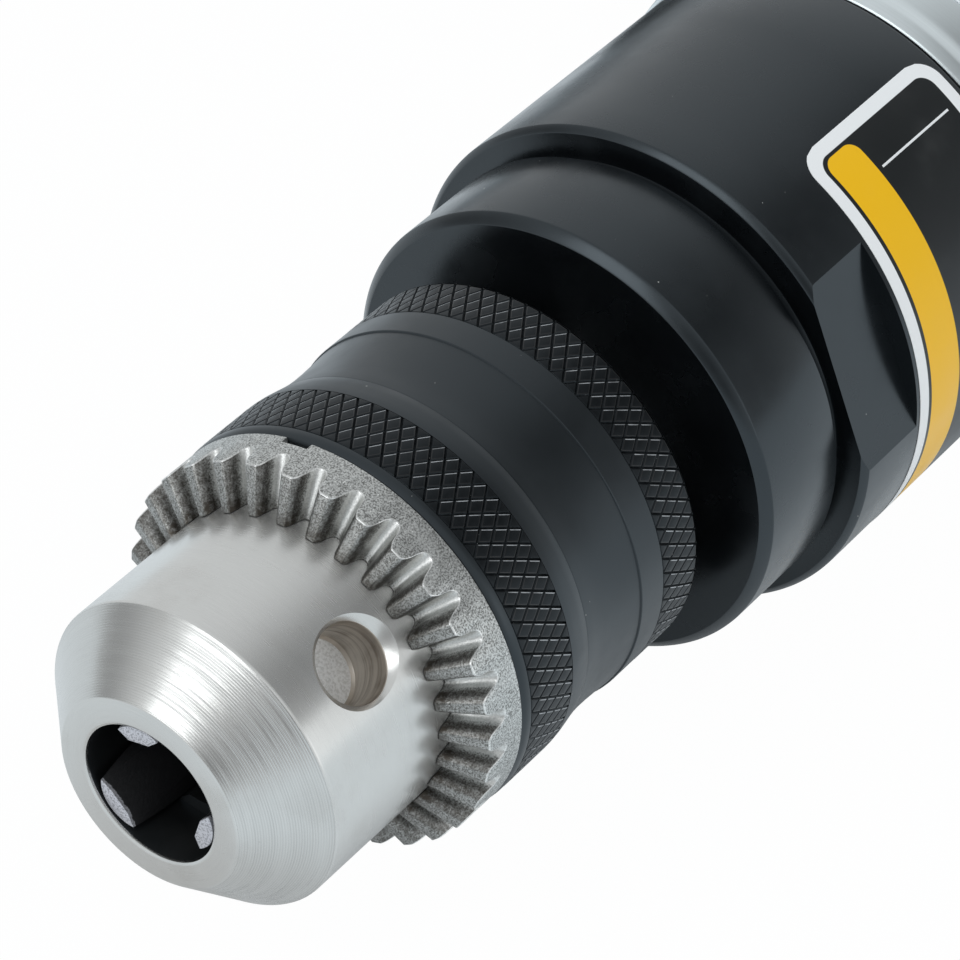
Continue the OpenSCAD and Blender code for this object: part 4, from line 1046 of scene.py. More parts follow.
@dataclass(frozen=True)
class Rubbed(Finish):
    """Edges from which the black oxide is partly rubbed off; made as a lit copy and a shaded copy, for knurl pad edges
    that face towards and away from the light.
    """

    black: Colour = (0.006, 0.007, 0.008)
    bare: Colour = (0.46, 0.48, 0.50)
    rough: float = 0.33

    def draw(self, graph: Graph) -> None:
        """Build the shader.

        Args:
            graph: the material's graph.
        """
        spot, *_ = graph.place()
        wear = graph.noise(spot, 1.6, 4.0, 0.7).ramp(0.36, 0.6)
        glint = graph.specks(spot, 0.4, 0.3, 0.2)
        share = (wear * 0.55 + 0.35).most(glint)
        graph.principled(
            {
                "Base Color": graph.mix(share, self.black, self.bare),
                "Metallic": share * 0.25,
                "Roughness": self.rough,
                "Normal": graph.bump(graph.noise(spot, 0.05, 2.0), 3.0),
            }
        )


@dataclass(frozen=True)
class Felt(Finish):
    """Pressed fibres of the muffler pad."""

    tint: Colour = (0.30, 0.29, 0.26)

    def draw(self, graph: Graph) -> None:
        """Build the shader.

        Args:
            graph: the material's graph.
        """
        _, x, y, z = graph.place()
        long = graph.noise(graph.vector(x, y * 0.15, z), 0.2, 4.0, 0.7)
        cross = graph.noise(graph.vector(x * 0.2, y, z), 0.2, 4.0, 0.7)
        weave = long.most(cross)
        graph.principled(
            {
                "Base Color": graph.mix(weave.ramp(0.35, 0.75), tuple(0.5 * part for part in self.tint), self.tint),
                "Roughness": 0.95,
                "Sheen Weight": 0.3,
                "Normal": graph.bump(weave, 60.0),
            }
        )


@dataclass(frozen=True)
class Sticker(Finish):
    """A blank wrapped label: white border, black field, an amber band and one thin rule."""

    radius: float = 24.0
    front: float = 75.5
    back: float = 95.2
    start: float = 24.5
    end: float = 145.0
    corner: float = 2.5
    field_corner: float = 1.5
    amber_corner: float = 1.3
    border: float = 1.35
    line: float = 0.35
    amber_from: float = 77.3
    amber_to: float = 81.8
    rule_turn: float = 37.0
    rule_half: float = 0.11
    rule_gap: tuple[float, float] = (0.6, 0.9)
    soft: float = 0.03
    white: Colour = (0.95, 0.965, 0.97)
    black: Colour = (0.006, 0.008, 0.009)
    amber: Colour = (1.0, 0.56, 0.004)
    smudge: Colour = (0.45, 0.45, 0.44)

    def arc(self, turn: float) -> float:
        """Return how far round the case a turn in degrees lies, in millimetres."""
        return math.radians(turn) * self.radius

    @staticmethod
    def box(spot: tuple[Expr, Expr], across: tuple[float, float], along: tuple[float, float], corner: float) -> Expr:
        """Return the signed distance to a box with round corners.

        Args:
            spot: the place along the axis and round the case, in millimetres.
            across: the box's least and greatest place along the axis.
            along: its least and greatest place round the case.
            corner: the radius of its corners.

        Returns:
            The distance in millimetres, negative inside.
        """
        far = [
            abs(at - (low + high) / 2) - ((high - low) / 2 - corner) for at, (low, high) in zip(spot, (across, along))
        ]
        out = [part.most(0.0) for part in far]
        return (out[0] * out[0] + out[1] * out[1]) ** 0.5 + far[0].most(far[1]).least(0.0) - corner

    def draw(self, graph: Graph) -> None:
        """Build the shader.

        Args:
            graph: the material's graph.
        """
        spot, x, y, z = graph.place()
        s = -x.in_mm()
        arc = graph.math("ARCTAN2", y, z) * self.radius
        low, high = self.arc(self.start) + self.border, self.arc(self.end) - self.border
        front, back = self.front + self.border, self.back - self.border
        field = self.box((s, arc), (front, back), (low, high), self.field_corner)
        ends = (low + self.line, high - self.line)
        band = self.box((s, arc), (self.amber_from, self.amber_to), ends, self.amber_corner)
        rule = abs(arc - self.arc(self.rule_turn)) < self.rule_half
        rule = rule * (s > self.amber_to + self.rule_gap[0]) * (s < back - self.rule_gap[1])
        tone = graph.mix(field.ramp(-self.soft, self.soft), self.black, self.white)
        tone = graph.mix(band.ramp(-self.soft, self.soft, 1.0, 0.0), tone, self.amber)
        tone = graph.mix(rule * 0.95, tone, self.white)
        cloud = graph.noise(spot, 6.0, 3.0)
        tone = graph.mix(cloud.ramp(0.5, 0.9, 0.0, 0.06), tone, self.smudge)
        graph.principled(
            {
                "Base Color": tone,
                "Roughness": cloud.ramp(0.2, 0.8, 0.3, 0.44),
                "Specular IOR Level": 0.4,
                "Normal": graph.bump(graph.noise(spot, 0.6, 2.0), 4.0),
            }
        )


CHUCK_STEEL = TurnedCone("chuck_steel", rough=0.25, depth=0.24, metallic=0.8)
JAW_STEEL = Jaw("jaw_steel")
KEY_HOLE = Bored("key_hole_wall")
# a near-white floor for the key holes: bare steel lightened by a painted highlight
KEY_FLOOR_HIGHLIGHT = Grained(
    "key_hole_floor_highlight", tint=(0.95, 0.955, 0.955), light=(0.99, 0.99, 0.99), dark=(0.72, 0.72, 0.71), rough=0.4,
    grain=0.24, depth=20.0, metallic=0.25,
)
# near-black inside the mouth and jaw ways: painted shade with old oil
SHADED_OILED_BORE = Coated("shaded_oiled_bore", tint=(0.004, 0.004, 0.004), worn=(0.014, 0.013, 0.012), rough=0.4, dust=0.02)
SINTERED = Toothed(
    "sintered_steel", tint=(0.57, 0.575, 0.56), light=(0.98, 0.98, 0.96), dark=(0.18, 0.18, 0.172), rough=0.42,
    grain=0.15, depth=26.0,
)
# painted highlight along the narrow bevel round the front of the gear ring
EDGE_HIGHLIGHT = Grained(
    "edge_highlight", tint=(0.74, 0.74, 0.72), light=(0.92, 0.92, 0.90), dark=(0.5, 0.5, 0.49), rough=0.36, grain=0.12
)
BLACK_OXIDE = Coated("black_oxide")
KNURLED_OXIDE = Knurled("knurled_oxide")
# lit copy: painted highlight with rubbed wear, for pad edges that face the light
LIT_RUBBED_EDGE = Rubbed("lit_rubbed_edge")
# shaded copy: pad edges that face away from the light, kept dim with a little wear
SHADED_EDGE = Rubbed("shaded_edge", black=(0.0012, 0.0015, 0.0019), bare=(0.010, 0.011, 0.0125))
CASE_BLACK = Coated("case_black", rough=0.25, grain=0.16, depth=0.5, dust=0.1, lines=True, gloss=0.66)
CAST_ALLOY = Grained(
    "cast_alloy", tint=(0.62, 0.66, 0.68), light=(0.74, 0.78, 0.80), dark=(0.52, 0.55, 0.57), rough=0.44, grain=0.35,
    depth=9.0,
)
MACHINED_ALLOY = Turned("machined_alloy", tint=(0.70, 0.75, 0.76), rough=0.34, pitch=0.16, stain=(0.6, 0.63, 0.64))
TRIGGER_PLASTIC = Coated(
    "trigger_plastic", tint=(0.014, 0.0145, 0.015), worn=(0.03, 0.031, 0.032), rough=0.45, grain=0.35, depth=12.0,
    dust=0.05,
)
RUBBER = Coated("rubber", tint=(0.012, 0.012, 0.012), worn=(0.03, 0.03, 0.03), rough=0.62, grain=0.2, depth=8.0)
DEFLECTOR_PLASTIC = Coated(
    "deflector_plastic", tint=(0.02, 0.021, 0.022), worn=(0.04, 0.041, 0.042), rough=0.5, grain=0.3, depth=14.0,
    dust=0.06,
)
PLATED = Turned(
    "plated_steel", tint=(0.58, 0.585, 0.59), rough=0.3, pitch=0.15, axis=Axis.HANDLE, drop=161.0,
    stain=(0.44, 0.43, 0.41),
)
BEARING = Turned("bearing_steel", tint=(0.63, 0.63, 0.63), rough=0.2, pitch=0.08, depth=0.8)
GEAR = Turned("gear_steel", tint=(0.42, 0.42, 0.41), rough=0.33, pitch=0.2, depth=2.0, stain=(0.25, 0.23, 0.2))
BRONZE = Turned("bronze", tint=(0.55, 0.34, 0.14), rough=0.32, pitch=0.15, stain=(0.35, 0.2, 0.08))
MOTOR_IRON = Grained(
    "motor_iron", tint=(0.30, 0.30, 0.30), light=(0.46, 0.46, 0.46), dark=(0.16, 0.16, 0.16), rough=0.4, grain=0.3,
    depth=7.0,
)
VANE_FIBRE = Grained(
    "vane_fibre", tint=(0.24, 0.13, 0.06), light=(0.36, 0.21, 0.10), dark=(0.14, 0.07, 0.03), rough=0.6, grain=0.4,
    depth=12.0, metallic=0.0,
)
FELT = Felt("felt")


@dataclass
class Chuck:
    """The keyed chuck: body, jaws, bevel gear ring and knurled sleeve."""

    mouth_r: float = 6.5
    mouth_depth: float = 6.0
    shank_r: float = 5.3
    shank_depth: float = 31.0
    nose_r: float = 14.5
    mouth_edge: Outline = ((0.3, 6.5), (0.1, 6.57), (0.0, 6.78), (0.0, 8.88), (0.05, 9.03))
    cone_ends: tuple[tuple[float, float], tuple[float, float]] = ((0.16, 9.15), (5.48, 14.38))
    cone_rings: int = 12
    nose_edge: Outline = ((5.52, 14.43), (5.65, 14.49), (5.8, 14.5))
    nose_rings: tuple[float, ...] = (9.0, 13.2, 17.4, 21.5, 25.4)
    groove_s: float = 25.6
    groove_len: float = 6.0
    groove_r: float = 10.6
    land_r: float = 15.4
    length: float = 49.3
    thread_r: float = 4.8
    thread_s: float = 36.3
    key_r: float = 3.35
    key_s: float = 13.6
    key_depth: float = 5.5
    key_bevel: float = 0.95
    key_turn: float = 46.5
    key_overrun: float = 0.9
    mouth_rim_s: float = 0.55
    way_slope: float = 0.3
    way_reach: float = 10.5
    jaw_r: float = 3.1
    jaw_gap: float = 0.05
    jaw_tilt: float = 16.0
    jaw_axis_r: float = 3.2
    jaw_tip_s: float = 0.9
    jaw_end_s: float = 0.4
    jaw_back_s: float = 33.0
    jaw_turn: float = 107.0
    jaw_way: tuple[float, float] = (6.0, -60.0)
    jaw_stock: tuple[float, float] = (-8.0, 60.0)
    jaw_bevel: float = 0.16
    grip: float = 4.75
    jaw_land: float = 1.05
    flank: float = 60.0
    ring_r: float = 18.6
    ring_bore_r: float = 14.55
    ring_back_s: float = 24.4
    spigot_r: float = 16.7
    spigot_s: float = 25.6
    teeth: int = 31
    tip_cone: float = 70.8
    root_cone: float = 64.8
    gap_turn: float = 1.5
    gap: tuple[tuple[float, float], ...] = (
        (0.0, 0.0), (0.5, 0.01), (1.0, 0.035), (1.4, 0.08), (1.75, 0.14), (2.1, 0.25), (2.36, 0.38), (2.58, 0.52),
        (2.82, 0.66), (3.15, 0.79), (3.6, 0.9), (4.0, 0.965), (4.3, 1.0),
    )
    land_turn: float = 4.9
    tooth_bevel: float = 0.1
    notch_turn: float = -11.0
    notch_w: float = 2.6
    notch_depth: float = 0.7
    sleeve_r: float = 18.7
    tail_r: float = 18.45
    sleeve_back_s: float = 49.8
    pocket_r: float = 16.72
    pocket_back_s: float = 35.0
    bore_r: float = 15.45
    lip: Outline = ((24.4, 18.0), (24.46, 18.22), (24.62, 18.45), (24.9, 18.62), (25.25, 18.7))
    waist: Outline = (
        (31.6, 18.69), (32.2, 18.63), (33.0, 18.5), (33.9, 18.345), (33.97, 18.31), (34.07, 18.31), (34.15, 18.305),
        (35.2, 18.17), (36.6, 18.1), (38.2, 18.12), (39.8, 18.2), (41.3, 18.3), (41.4, 18.31), (41.45, 18.42),
        (41.52, 18.45),
    )
    tail: Outline = ((49.4, 18.43), (49.52, 18.33), (49.66, 18.18), (49.76, 17.98), (49.8, 17.75))
    front_band: tuple[float, float] = (25.55, 31.3)
    rear_band: tuple[float, float] = (44.5, 49.4)
    knurl_starts: int = 78
    knurl_row: float = 1.165
    knurl_depth: float = 0.14
    knurl_side: float = 0.115
    knurl_edge: float = 0.08
    knurl_crown: float = 0.018
    knurl_seat: float = 0.06
    # lean of the pad edges that face the light and get the painted highlight
    lit_lean: tuple[float, float] = (0.2, 0.95)

    def build(self) -> None:
        """Model and dress every piece of the chuck."""
        self.body()
        for number in (1, 2, 3):
            self.jaw(number)
        self.gear_ring()
        self.sleeve()

    def cone(self) -> list[tuple[float, float]]:
        """Return the outline of the turned cone."""
        start, end = (Vector(spot) for spot in self.cone_ends)
        spots = [start.lerp(end, ring / self.cone_rings) for ring in range(self.cone_rings + 1)]
        return [(spot.x, spot.y) for spot in spots]

    def body(self) -> None:
        """Turn the chuck body, then drill its key holes and jaw ways."""
        outline = [(self.shank_depth, 0.0), (self.shank_depth, self.shank_r), (self.mouth_depth, self.shank_r)]
        outline += [(self.mouth_depth, self.mouth_r), *self.mouth_edge, *self.cone(), *self.nose_edge]
        outline += [(s, self.nose_r) for s in self.nose_rings]
        back = self.groove_s + self.groove_len
        outline += [(self.groove_s, self.nose_r - 0.2), (self.groove_s, self.groove_r), (back, self.groove_r)]
        outline += [(back, self.land_r), (self.length - 0.6, self.land_r), (self.length, self.land_r - 0.6)]
        outline += [(self.length, self.thread_r), (self.thread_s, self.thread_r), (self.thread_s, 0.0)]
        piece = Shop.lathe("chuck_nose", outline, steps=FINE_STEPS)
        floor, rim = self.nose_r - self.key_depth, self.nose_r - self.key_bevel
        top = self.nose_r + self.key_overrun
        hole = [(-floor, 0.0), (-floor, self.key_r - 0.25), (-floor - 0.25, self.key_r)]
        hole += [(-rim + 0.12, self.key_r), (-rim - 0.1, self.key_r + 0.1)]
        hole += [(-top, self.key_r + self.key_bevel + self.key_overrun), (-top, 0.0)]
        radius = self.jaw_r + self.jaw_gap
        front, rear = self.jaw_way
        way = [(front, 0.0), (front, radius), (rear, radius), (rear, 0.0)]
        for number in range(3):
            drill = Shop.lathe("drill", hole, steps=DRILLED_STEPS)
            Shop.place(drill, radial(self.key_turn + THIRD * number), (-self.key_s, 0.0, 0.0))
            Shop.carve(piece, drill)
            _, axis, start = self.jaw_line(number)
            Shop.carve(piece, Shop.place(Shop.lathe("drill", way, steps=DRILLED_STEPS), axis, start))
        Shop.finish(piece, "spindle", "chuck_steel", CHUCK_STEEL, ["chuck_body"], degrees=25.0)
        # the mouth and jaw ways get painted shade with old oil
        Shop.paint(piece, SHADED_OILED_BORE, self.in_mouth)
        Shop.paint(piece, KEY_HOLE, self.in_key_hole)
        # the floors of the key holes get the painted highlight
        Shop.paint(piece, KEY_FLOOR_HIGHLIGHT, lambda face: self.in_key_hole(face) and self.on_key_floor(face))

    def jaw_line(self, number: int) -> tuple[Vector, Vector, Vector]:
        """Return the line that a jaw slides along.

        Args:
            number: which jaw, from 0.

        Returns:
            The jaw's direction away from the spindle, the direction of its way, and where that starts.
        """
        tilt = math.radians(self.jaw_tilt)
        out = radial(self.jaw_turn + THIRD * number)
        axis = Vector((-math.cos(tilt), 0.0, 0.0)) + out * math.sin(tilt)
        return out, axis, Vector((-self.jaw_tip_s, 0.0, 0.0)) + out * self.jaw_axis_r

    def in_key_hole(self, face: object) -> bool:
        """Tell whether a face belongs to the wall of a key hole.

        Args:
            face: a face of the chuck body.

        Returns:
            True for a wall or a floor.
        """
        spot = face.calc_center_median() / MM
        out = math.hypot(spot.y, spot.z)
        floor = self.nose_r - self.key_depth
        if abs(spot.x + self.key_s) > self.key_r + 0.1 or out < floor - 0.5 or out > self.nose_r - 0.2:
            return False
        turn = math.degrees(math.atan2(spot.y, spot.z)) - self.key_turn
        off = out * math.sin(math.radians((turn + THIRD / 2) % THIRD - THIRD / 2))
        return math.hypot(off, spot.x + self.key_s) < self.key_r + 0.05

    def on_key_floor(self, face: object) -> bool:
        """Tell whether a face inside a key hole looks straight out of it."""
        return any(face.normal.dot(radial(self.key_turn + THIRD * number)) > 0.9 for number in range(3))

    def in_mouth(self, face: object) -> bool:
        """Tell whether a face lies inside the mouth.

        Args:
            face: a face of the chuck body.

        Returns:
            True behind the rim of the mouth, and in the jaw ways.
        """
        spot = face.calc_center_median() / MM
        out = math.hypot(spot.y, spot.z)
        wide = self.mouth_r + 0.05 + self.way_slope * (-spot.x - 0.5)
        return -spot.x > self.mouth_rim_s and out < min(wide, self.way_reach)

    def jaw(self, number: int) -> None:
        """Model one jaw: a tilted rod, cut to its two flanks, its land and its ends.

        Args:
            number: which jaw, from 1.
        """
        out, axis, start = self.jaw_line(number - 1)
        side = out.cross(Vector(FORWARDS))
        piece = Shop.place(Shop.prism(f"jaw_{number}", DRILLED_STEPS, self.jaw_r, *self.jaw_stock), axis, start)
        slope = math.tan(math.radians(self.flank))
        with Bench(piece) as bench:
            bench.shorten(self.jaw_end_s, self.jaw_back_s)
            bench.trim(out * self.grip * MM, -out)
            for hand in (-1.0, 1.0):
                corner = (out * self.grip + side * hand * self.jaw_land) * MM
                bench.trim(corner, side * hand - out * slope)
            bench.weld()
            bench.pick_sharp(24.0)
            bench.bevel(self.jaw_bevel, 3)
            bench.weld()
        Shop.finish(piece, f"jaw_{number}", "jaw_steel", JAW_STEEL, [f"chuck_jaw_{number}"])

    def tooth(self) -> list[tuple[float, float]]:
        """Draw one pitch of the ring's front edge.

        Returns:
            Angles from the middle of a gap, in degrees, with places s.
        """
        tip, root = (
            self.key_s + self.ring_r / math.tan(math.radians(cone)) for cone in (self.tip_cone, self.root_cone)
        )
        right = [(turn, root + (tip - root) * share) for turn, share in self.gap]
        right += [(self.land_turn, tip), (HALF_TURN / self.teeth, tip)]
        left = [(-turn, s) for turn, s in reversed(right[1:])]
        return left + right

    def gear_ring(self) -> None:
        """Model the bevel gear ring: one tooth pitch towards the cone's apex, repeated round the axis."""
        points = []
        for turn, s in self.tooth():
            out = radial(turn + self.gap_turn) * self.ring_r
            points.append((-s * MM, out.y * MM, out.z * MM))
        piece = Shop.wire("gear_ring", points)
        inner, narrow = self.ring_bore_r / self.ring_r, self.spigot_r / self.ring_r
        apex, back, end = ((-s * MM, 0.0, 0.0) for s in (self.key_s, self.ring_back_s, self.spigot_s))
        flat = (0.0, 1.0, 1.0)

        def at(radius: float) -> Test:
            """Return a test for vertices on a radius in millimetres."""
            return lambda vert: abs(math.hypot(vert.co.y, vert.co.z) - radius * MM) < 0.01 * MM

        with Bench(piece) as bench:
            bench.grow((inner, inner, inner), apex)
            bench.pick(Kind.VERT, at(self.ring_bore_r))
            bench.grow(flat, end)
            bench.pick(Kind.VERT, at(self.ring_r))
            bench.grow(flat, back)
            bench.grow((1.0, narrow, narrow))
            bench.grow(flat, end)
            bench.grow((1.0, inner / narrow, inner / narrow))
            bench.everything()
            bench.spin(self.teeth - 1, FULL_TURN - FULL_TURN / self.teeth, copies=True)
            bench.weld(0.002)
            bench.pick_sharp(28.0, lambda spot: spot.x > -(self.ring_back_s - 0.1) * MM)
            bench.bevel(self.tooth_bevel, 2)
            bench.weld()
        low = (self.ring_r - self.notch_depth, -self.ring_back_s - 0.3, -self.notch_w / 2)
        high = (self.ring_r + 1.0, -self.ring_back_s + self.notch_depth, self.notch_w / 2)
        for hand in (0.0, HALF_TURN):
            Shop.mill(piece, self.notch_turn + hand, low, high)
        Shop.finish(piece, "chuck_sleeve", "sintered_steel", SINTERED, ["chuck_gear_ring"], degrees=28.0)
        # the bevel round the front of the gear ring gets the painted highlight
        Shop.paint(piece, EDGE_HIGHLIGHT, self.on_edge)

    def on_edge(self, face: object) -> bool:
        """Tell whether a face lies on the narrow bevel round the front of the gear ring."""
        spot = face.calc_center_median() / MM
        return -spot.x < self.ring_back_s - 0.1 and 0.003 < self.ring_r - math.hypot(spot.y, spot.z) < 0.15

    def knurl(self, name: str, radius: float, start: float, end: float) -> bpy.types.Object:
        """Model one band of diamond knurling as raised pads between crossed grooves.

        Args:
            name: the band's name.
            radius: the radius over the pads in millimetres.
            start: its front edge s.
            end: its rear edge s.

        Returns:
            The new mesh object, a closed ring.
        """
        floor = radius - self.knurl_depth
        first = start - self.knurl_row
        rows = math.ceil((end - start) / self.knurl_row) + 3
        outline = [(first + self.knurl_row * row, floor) for row in range(rows)]
        piece = Shop.lathe(name, outline, steps=2 * self.knurl_starts)
        column = math.pi / self.knurl_starts

        def odd(vert: object) -> bool:
            """Tell the middles of the diamonds from their corners.

            Args:
                vert: a grid vertex.

            Returns:
                True for a middle.
            """
            row = round((-vert.co.x / MM - first) / self.knurl_row)
            turn = round(math.atan2(vert.co.y, vert.co.z) / column)
            return (row + turn) % 2 == 1

        with Bench(piece) as bench:
            bench.pick(Kind.VERT, lambda vert: not odd(vert))
            bpy.ops.mesh.vert_connect()
            bench.pick(Kind.VERT, lambda vert: odd(vert) and len(vert.link_edges) > 3)
            bpy.ops.mesh.dissolve_verts()
            bench.shorten(start, end, fill=False)
            bench.everything()
            bpy.ops.mesh.normals_make_consistent(inside=False)
            bench.pick(Kind.FACE, lambda face: True)
            bpy.ops.mesh.inset(
                thickness=self.knurl_side * MM, depth=self.knurl_depth * MM, use_individual=True, use_boundary=True
            )
            bpy.ops.mesh.inset(thickness=self.knurl_edge * MM, depth=self.knurl_crown * MM, use_individual=True)
        return piece

    def sleeve(self) -> None:
        """Turn the sleeve with its waist, and set the two knurled bands into it."""
        low = self.knurl_depth + self.knurl_seat
        a, b = self.front_band
        c, d = self.rear_band
        front_s = self.lip[0][0]
        outline = [*self.lip, (a, self.sleeve_r), (a, self.sleeve_r - low), (b, self.sleeve_r - low)]
        outline += [(b, self.sleeve_r), *self.waist, (c, self.tail_r), (c, self.tail_r - low), (d, self.tail_r - low)]
        outline += [*self.tail, (self.sleeve_back_s, self.bore_r), (self.pocket_back_s, self.bore_r)]
        outline += [(self.pocket_back_s, self.pocket_r), (front_s, self.pocket_r)]
        piece = Shop.lathe("sleeve", outline, steps=FINE_STEPS, closed=True)
        front = self.knurl("knurl_front", self.sleeve_r, a, b)
        rear = self.knurl("knurl_rear", self.tail_r, c, d)
        Shop.join(piece, front, rear)
        Shop.finish(piece, "chuck_sleeve", "black_oxide", BLACK_OXIDE, ["chuck_sleeve"], degrees=20.0)
        Shop.paint(piece, KNURLED_OXIDE, self.in_knurl)
        # every narrow pad edge first gets the shaded copy
        Shop.paint(piece, SHADED_EDGE, lambda face: self.in_knurl(face) and self.on_pad_edge(face))
        # pad edges that lean towards the light get the lit copy: painted highlight with rubbed wear
        Shop.paint(piece, LIT_RUBBED_EDGE, lambda face: self.in_knurl(face) and self.on_pad_edge(face, rubbed=True))

    def on_pad_edge(self, face: object, rubbed: bool = False) -> bool:
        """Tell whether a face of a knurled band is the narrow edge of a pad.

        Args:
            face: a face of the sleeve.
            rubbed: ask only for the edges that lean towards the light: the lit copy, a painted highlight with rubbed
                wear.

        Returns:
            True on an edge.
        """
        lengths = sorted(edge.calc_length() for edge in face.edges)
        narrow = len(lengths) == 4 and lengths[1] < 1.9 * self.knurl_edge * MM and lengths[2] > 0.2 * MM
        if not narrow or not rubbed:
            return narrow
        # keep the edges that lean towards the light, which get the painted highlight
        spot = face.calc_center_median()
        along = Vector((0.0, spot.z, -spot.y)).normalized()
        lean = math.atan2(-face.normal.x, -face.normal.dot(along))
        return self.lit_lean[0] < lean < self.lit_lean[1]

    def in_knurl(self, face: object) -> bool:
        """Tell whether a face belongs to a knurled band.

        Args:
            face: a face of the sleeve.

        Returns:
            True inside either band.
        """
        spot = face.calc_center_median() / MM
        out = math.hypot(spot.y, spot.z)
        bands = ((self.front_band, self.sleeve_r), (self.rear_band, self.tail_r))
        return any(
            start < -spot.x < end and radius - self.knurl_depth - 0.02 < out < radius + 0.03
            for (start, end), radius in bands
        )


@dataclass
class GearCase:
    """The black gear case with its wrench flats and the blank label on it."""

    front_s: float = 55.0
    seal_r: float = 11.52
    collar: Outline = (
        (55.0, 20.95), (55.06, 21.09), (55.72, 21.8), (55.86, 21.88), (56.05, 21.9), (60.0, 21.9), (65.35, 21.9),
        (65.52, 21.86), (65.6, 21.76),
    )
    undercut: Outline = ((65.6, 21.15), (65.72, 20.95), (65.95, 20.9), (66.7, 20.9), (66.92, 20.96), (67.0, 21.18))
    barrel: Outline = (
        (67.0, 23.38), (67.05, 23.5), (67.42, 23.9), (67.55, 23.98), (67.75, 24.0), (71.0, 24.0), (75.0, 24.0),
        (80.0, 24.0), (88.0, 24.0), (95.6, 24.0), (95.85, 23.93), (96.12, 23.68), (96.2, 23.5),
    )
    bores: Outline = (
        (96.2, 22.32), (88.9, 22.32), (88.9, 20.02), (79.8, 20.02), (79.8, 16.02), (76.8, 16.02), (76.8, 16.92),
        (75.55, 16.92), (75.55, 16.02), (66.5, 16.02), (66.5, 14.02), (57.5, 14.02), (57.5, 11.52),
    )
    flat_turn: float = 68.0
    flat_half: float = 22.2
    flat_front_s: float = 60.0
    flat_back_s: float = 75.0
    mill_r: float = 40.0
    mill_half: float = 30.0
    label: Sticker = Sticker("label_print")
    label_gap: float = 0.01
    label_sheet: float = 0.05
    label_rows: int = 12
    label_steps: int = 160

    def build(self) -> None:
        """Model and dress the case and its label."""
        self.case()
        self.sticker()

    def case(self) -> None:
        """Turn the case and mill its two flats."""
        outline = [(self.front_s, self.seal_r), *self.collar, *self.undercut, *self.barrel, *self.bores]
        piece = Shop.lathe("gear_case_shell", outline, steps=288, closed=True)
        low = (self.flat_half, -self.flat_back_s, -self.mill_half)
        high = (self.mill_r, -self.flat_front_s, self.mill_half)
        for hand in (0.0, HALF_TURN):
            Shop.mill(piece, self.flat_turn + hand, low, high)
        Shop.finish(piece, "tool", "case_black", CASE_BLACK, ["gear_case"], degrees=22.0)

    def sticker(self) -> None:
        """Wrap the label round the case: an edge swept round the axis, its corners drawn in."""
        label, steps = self.label, self.label_steps
        radius = label.radius + self.label_gap
        length, sweep = label.back - label.front, label.end - label.start
        out = radial(label.start) * radius
        rows = [label.front + length * row / self.label_rows for row in range(self.label_rows + 1)]
        piece = Shop.wire("label", [(-s * MM, out.y * MM, out.z * MM) for s in rows])
        middle = (-(label.front + label.back) / 2 * MM, 0.0, 0.0)
        with Bench(piece) as bench:
            bench.spin(steps, sweep)
            bench.weld()
            for column in range(steps + 1):
                share = min(column, steps - column) * math.radians(sweep) / steps * radius
                if share >= label.corner:
                    continue
                drawn = label.corner - math.sqrt(label.corner**2 - (label.corner - share) ** 2)
                spot = radial(label.start + sweep * column / steps)
                bench.pick(Kind.VERT, lambda vert: vert.co.yz.normalized().dot(spot.yz) > 0.999999)
                bench.scale((1.0 - 2 * drawn / length, 1.0, 1.0), middle)
            bench.weld()
        Shop.modify(piece, "SOLIDIFY", thickness=self.label_sheet * MM, offset=1.0)
        Shop.dress(piece, "tool", label)


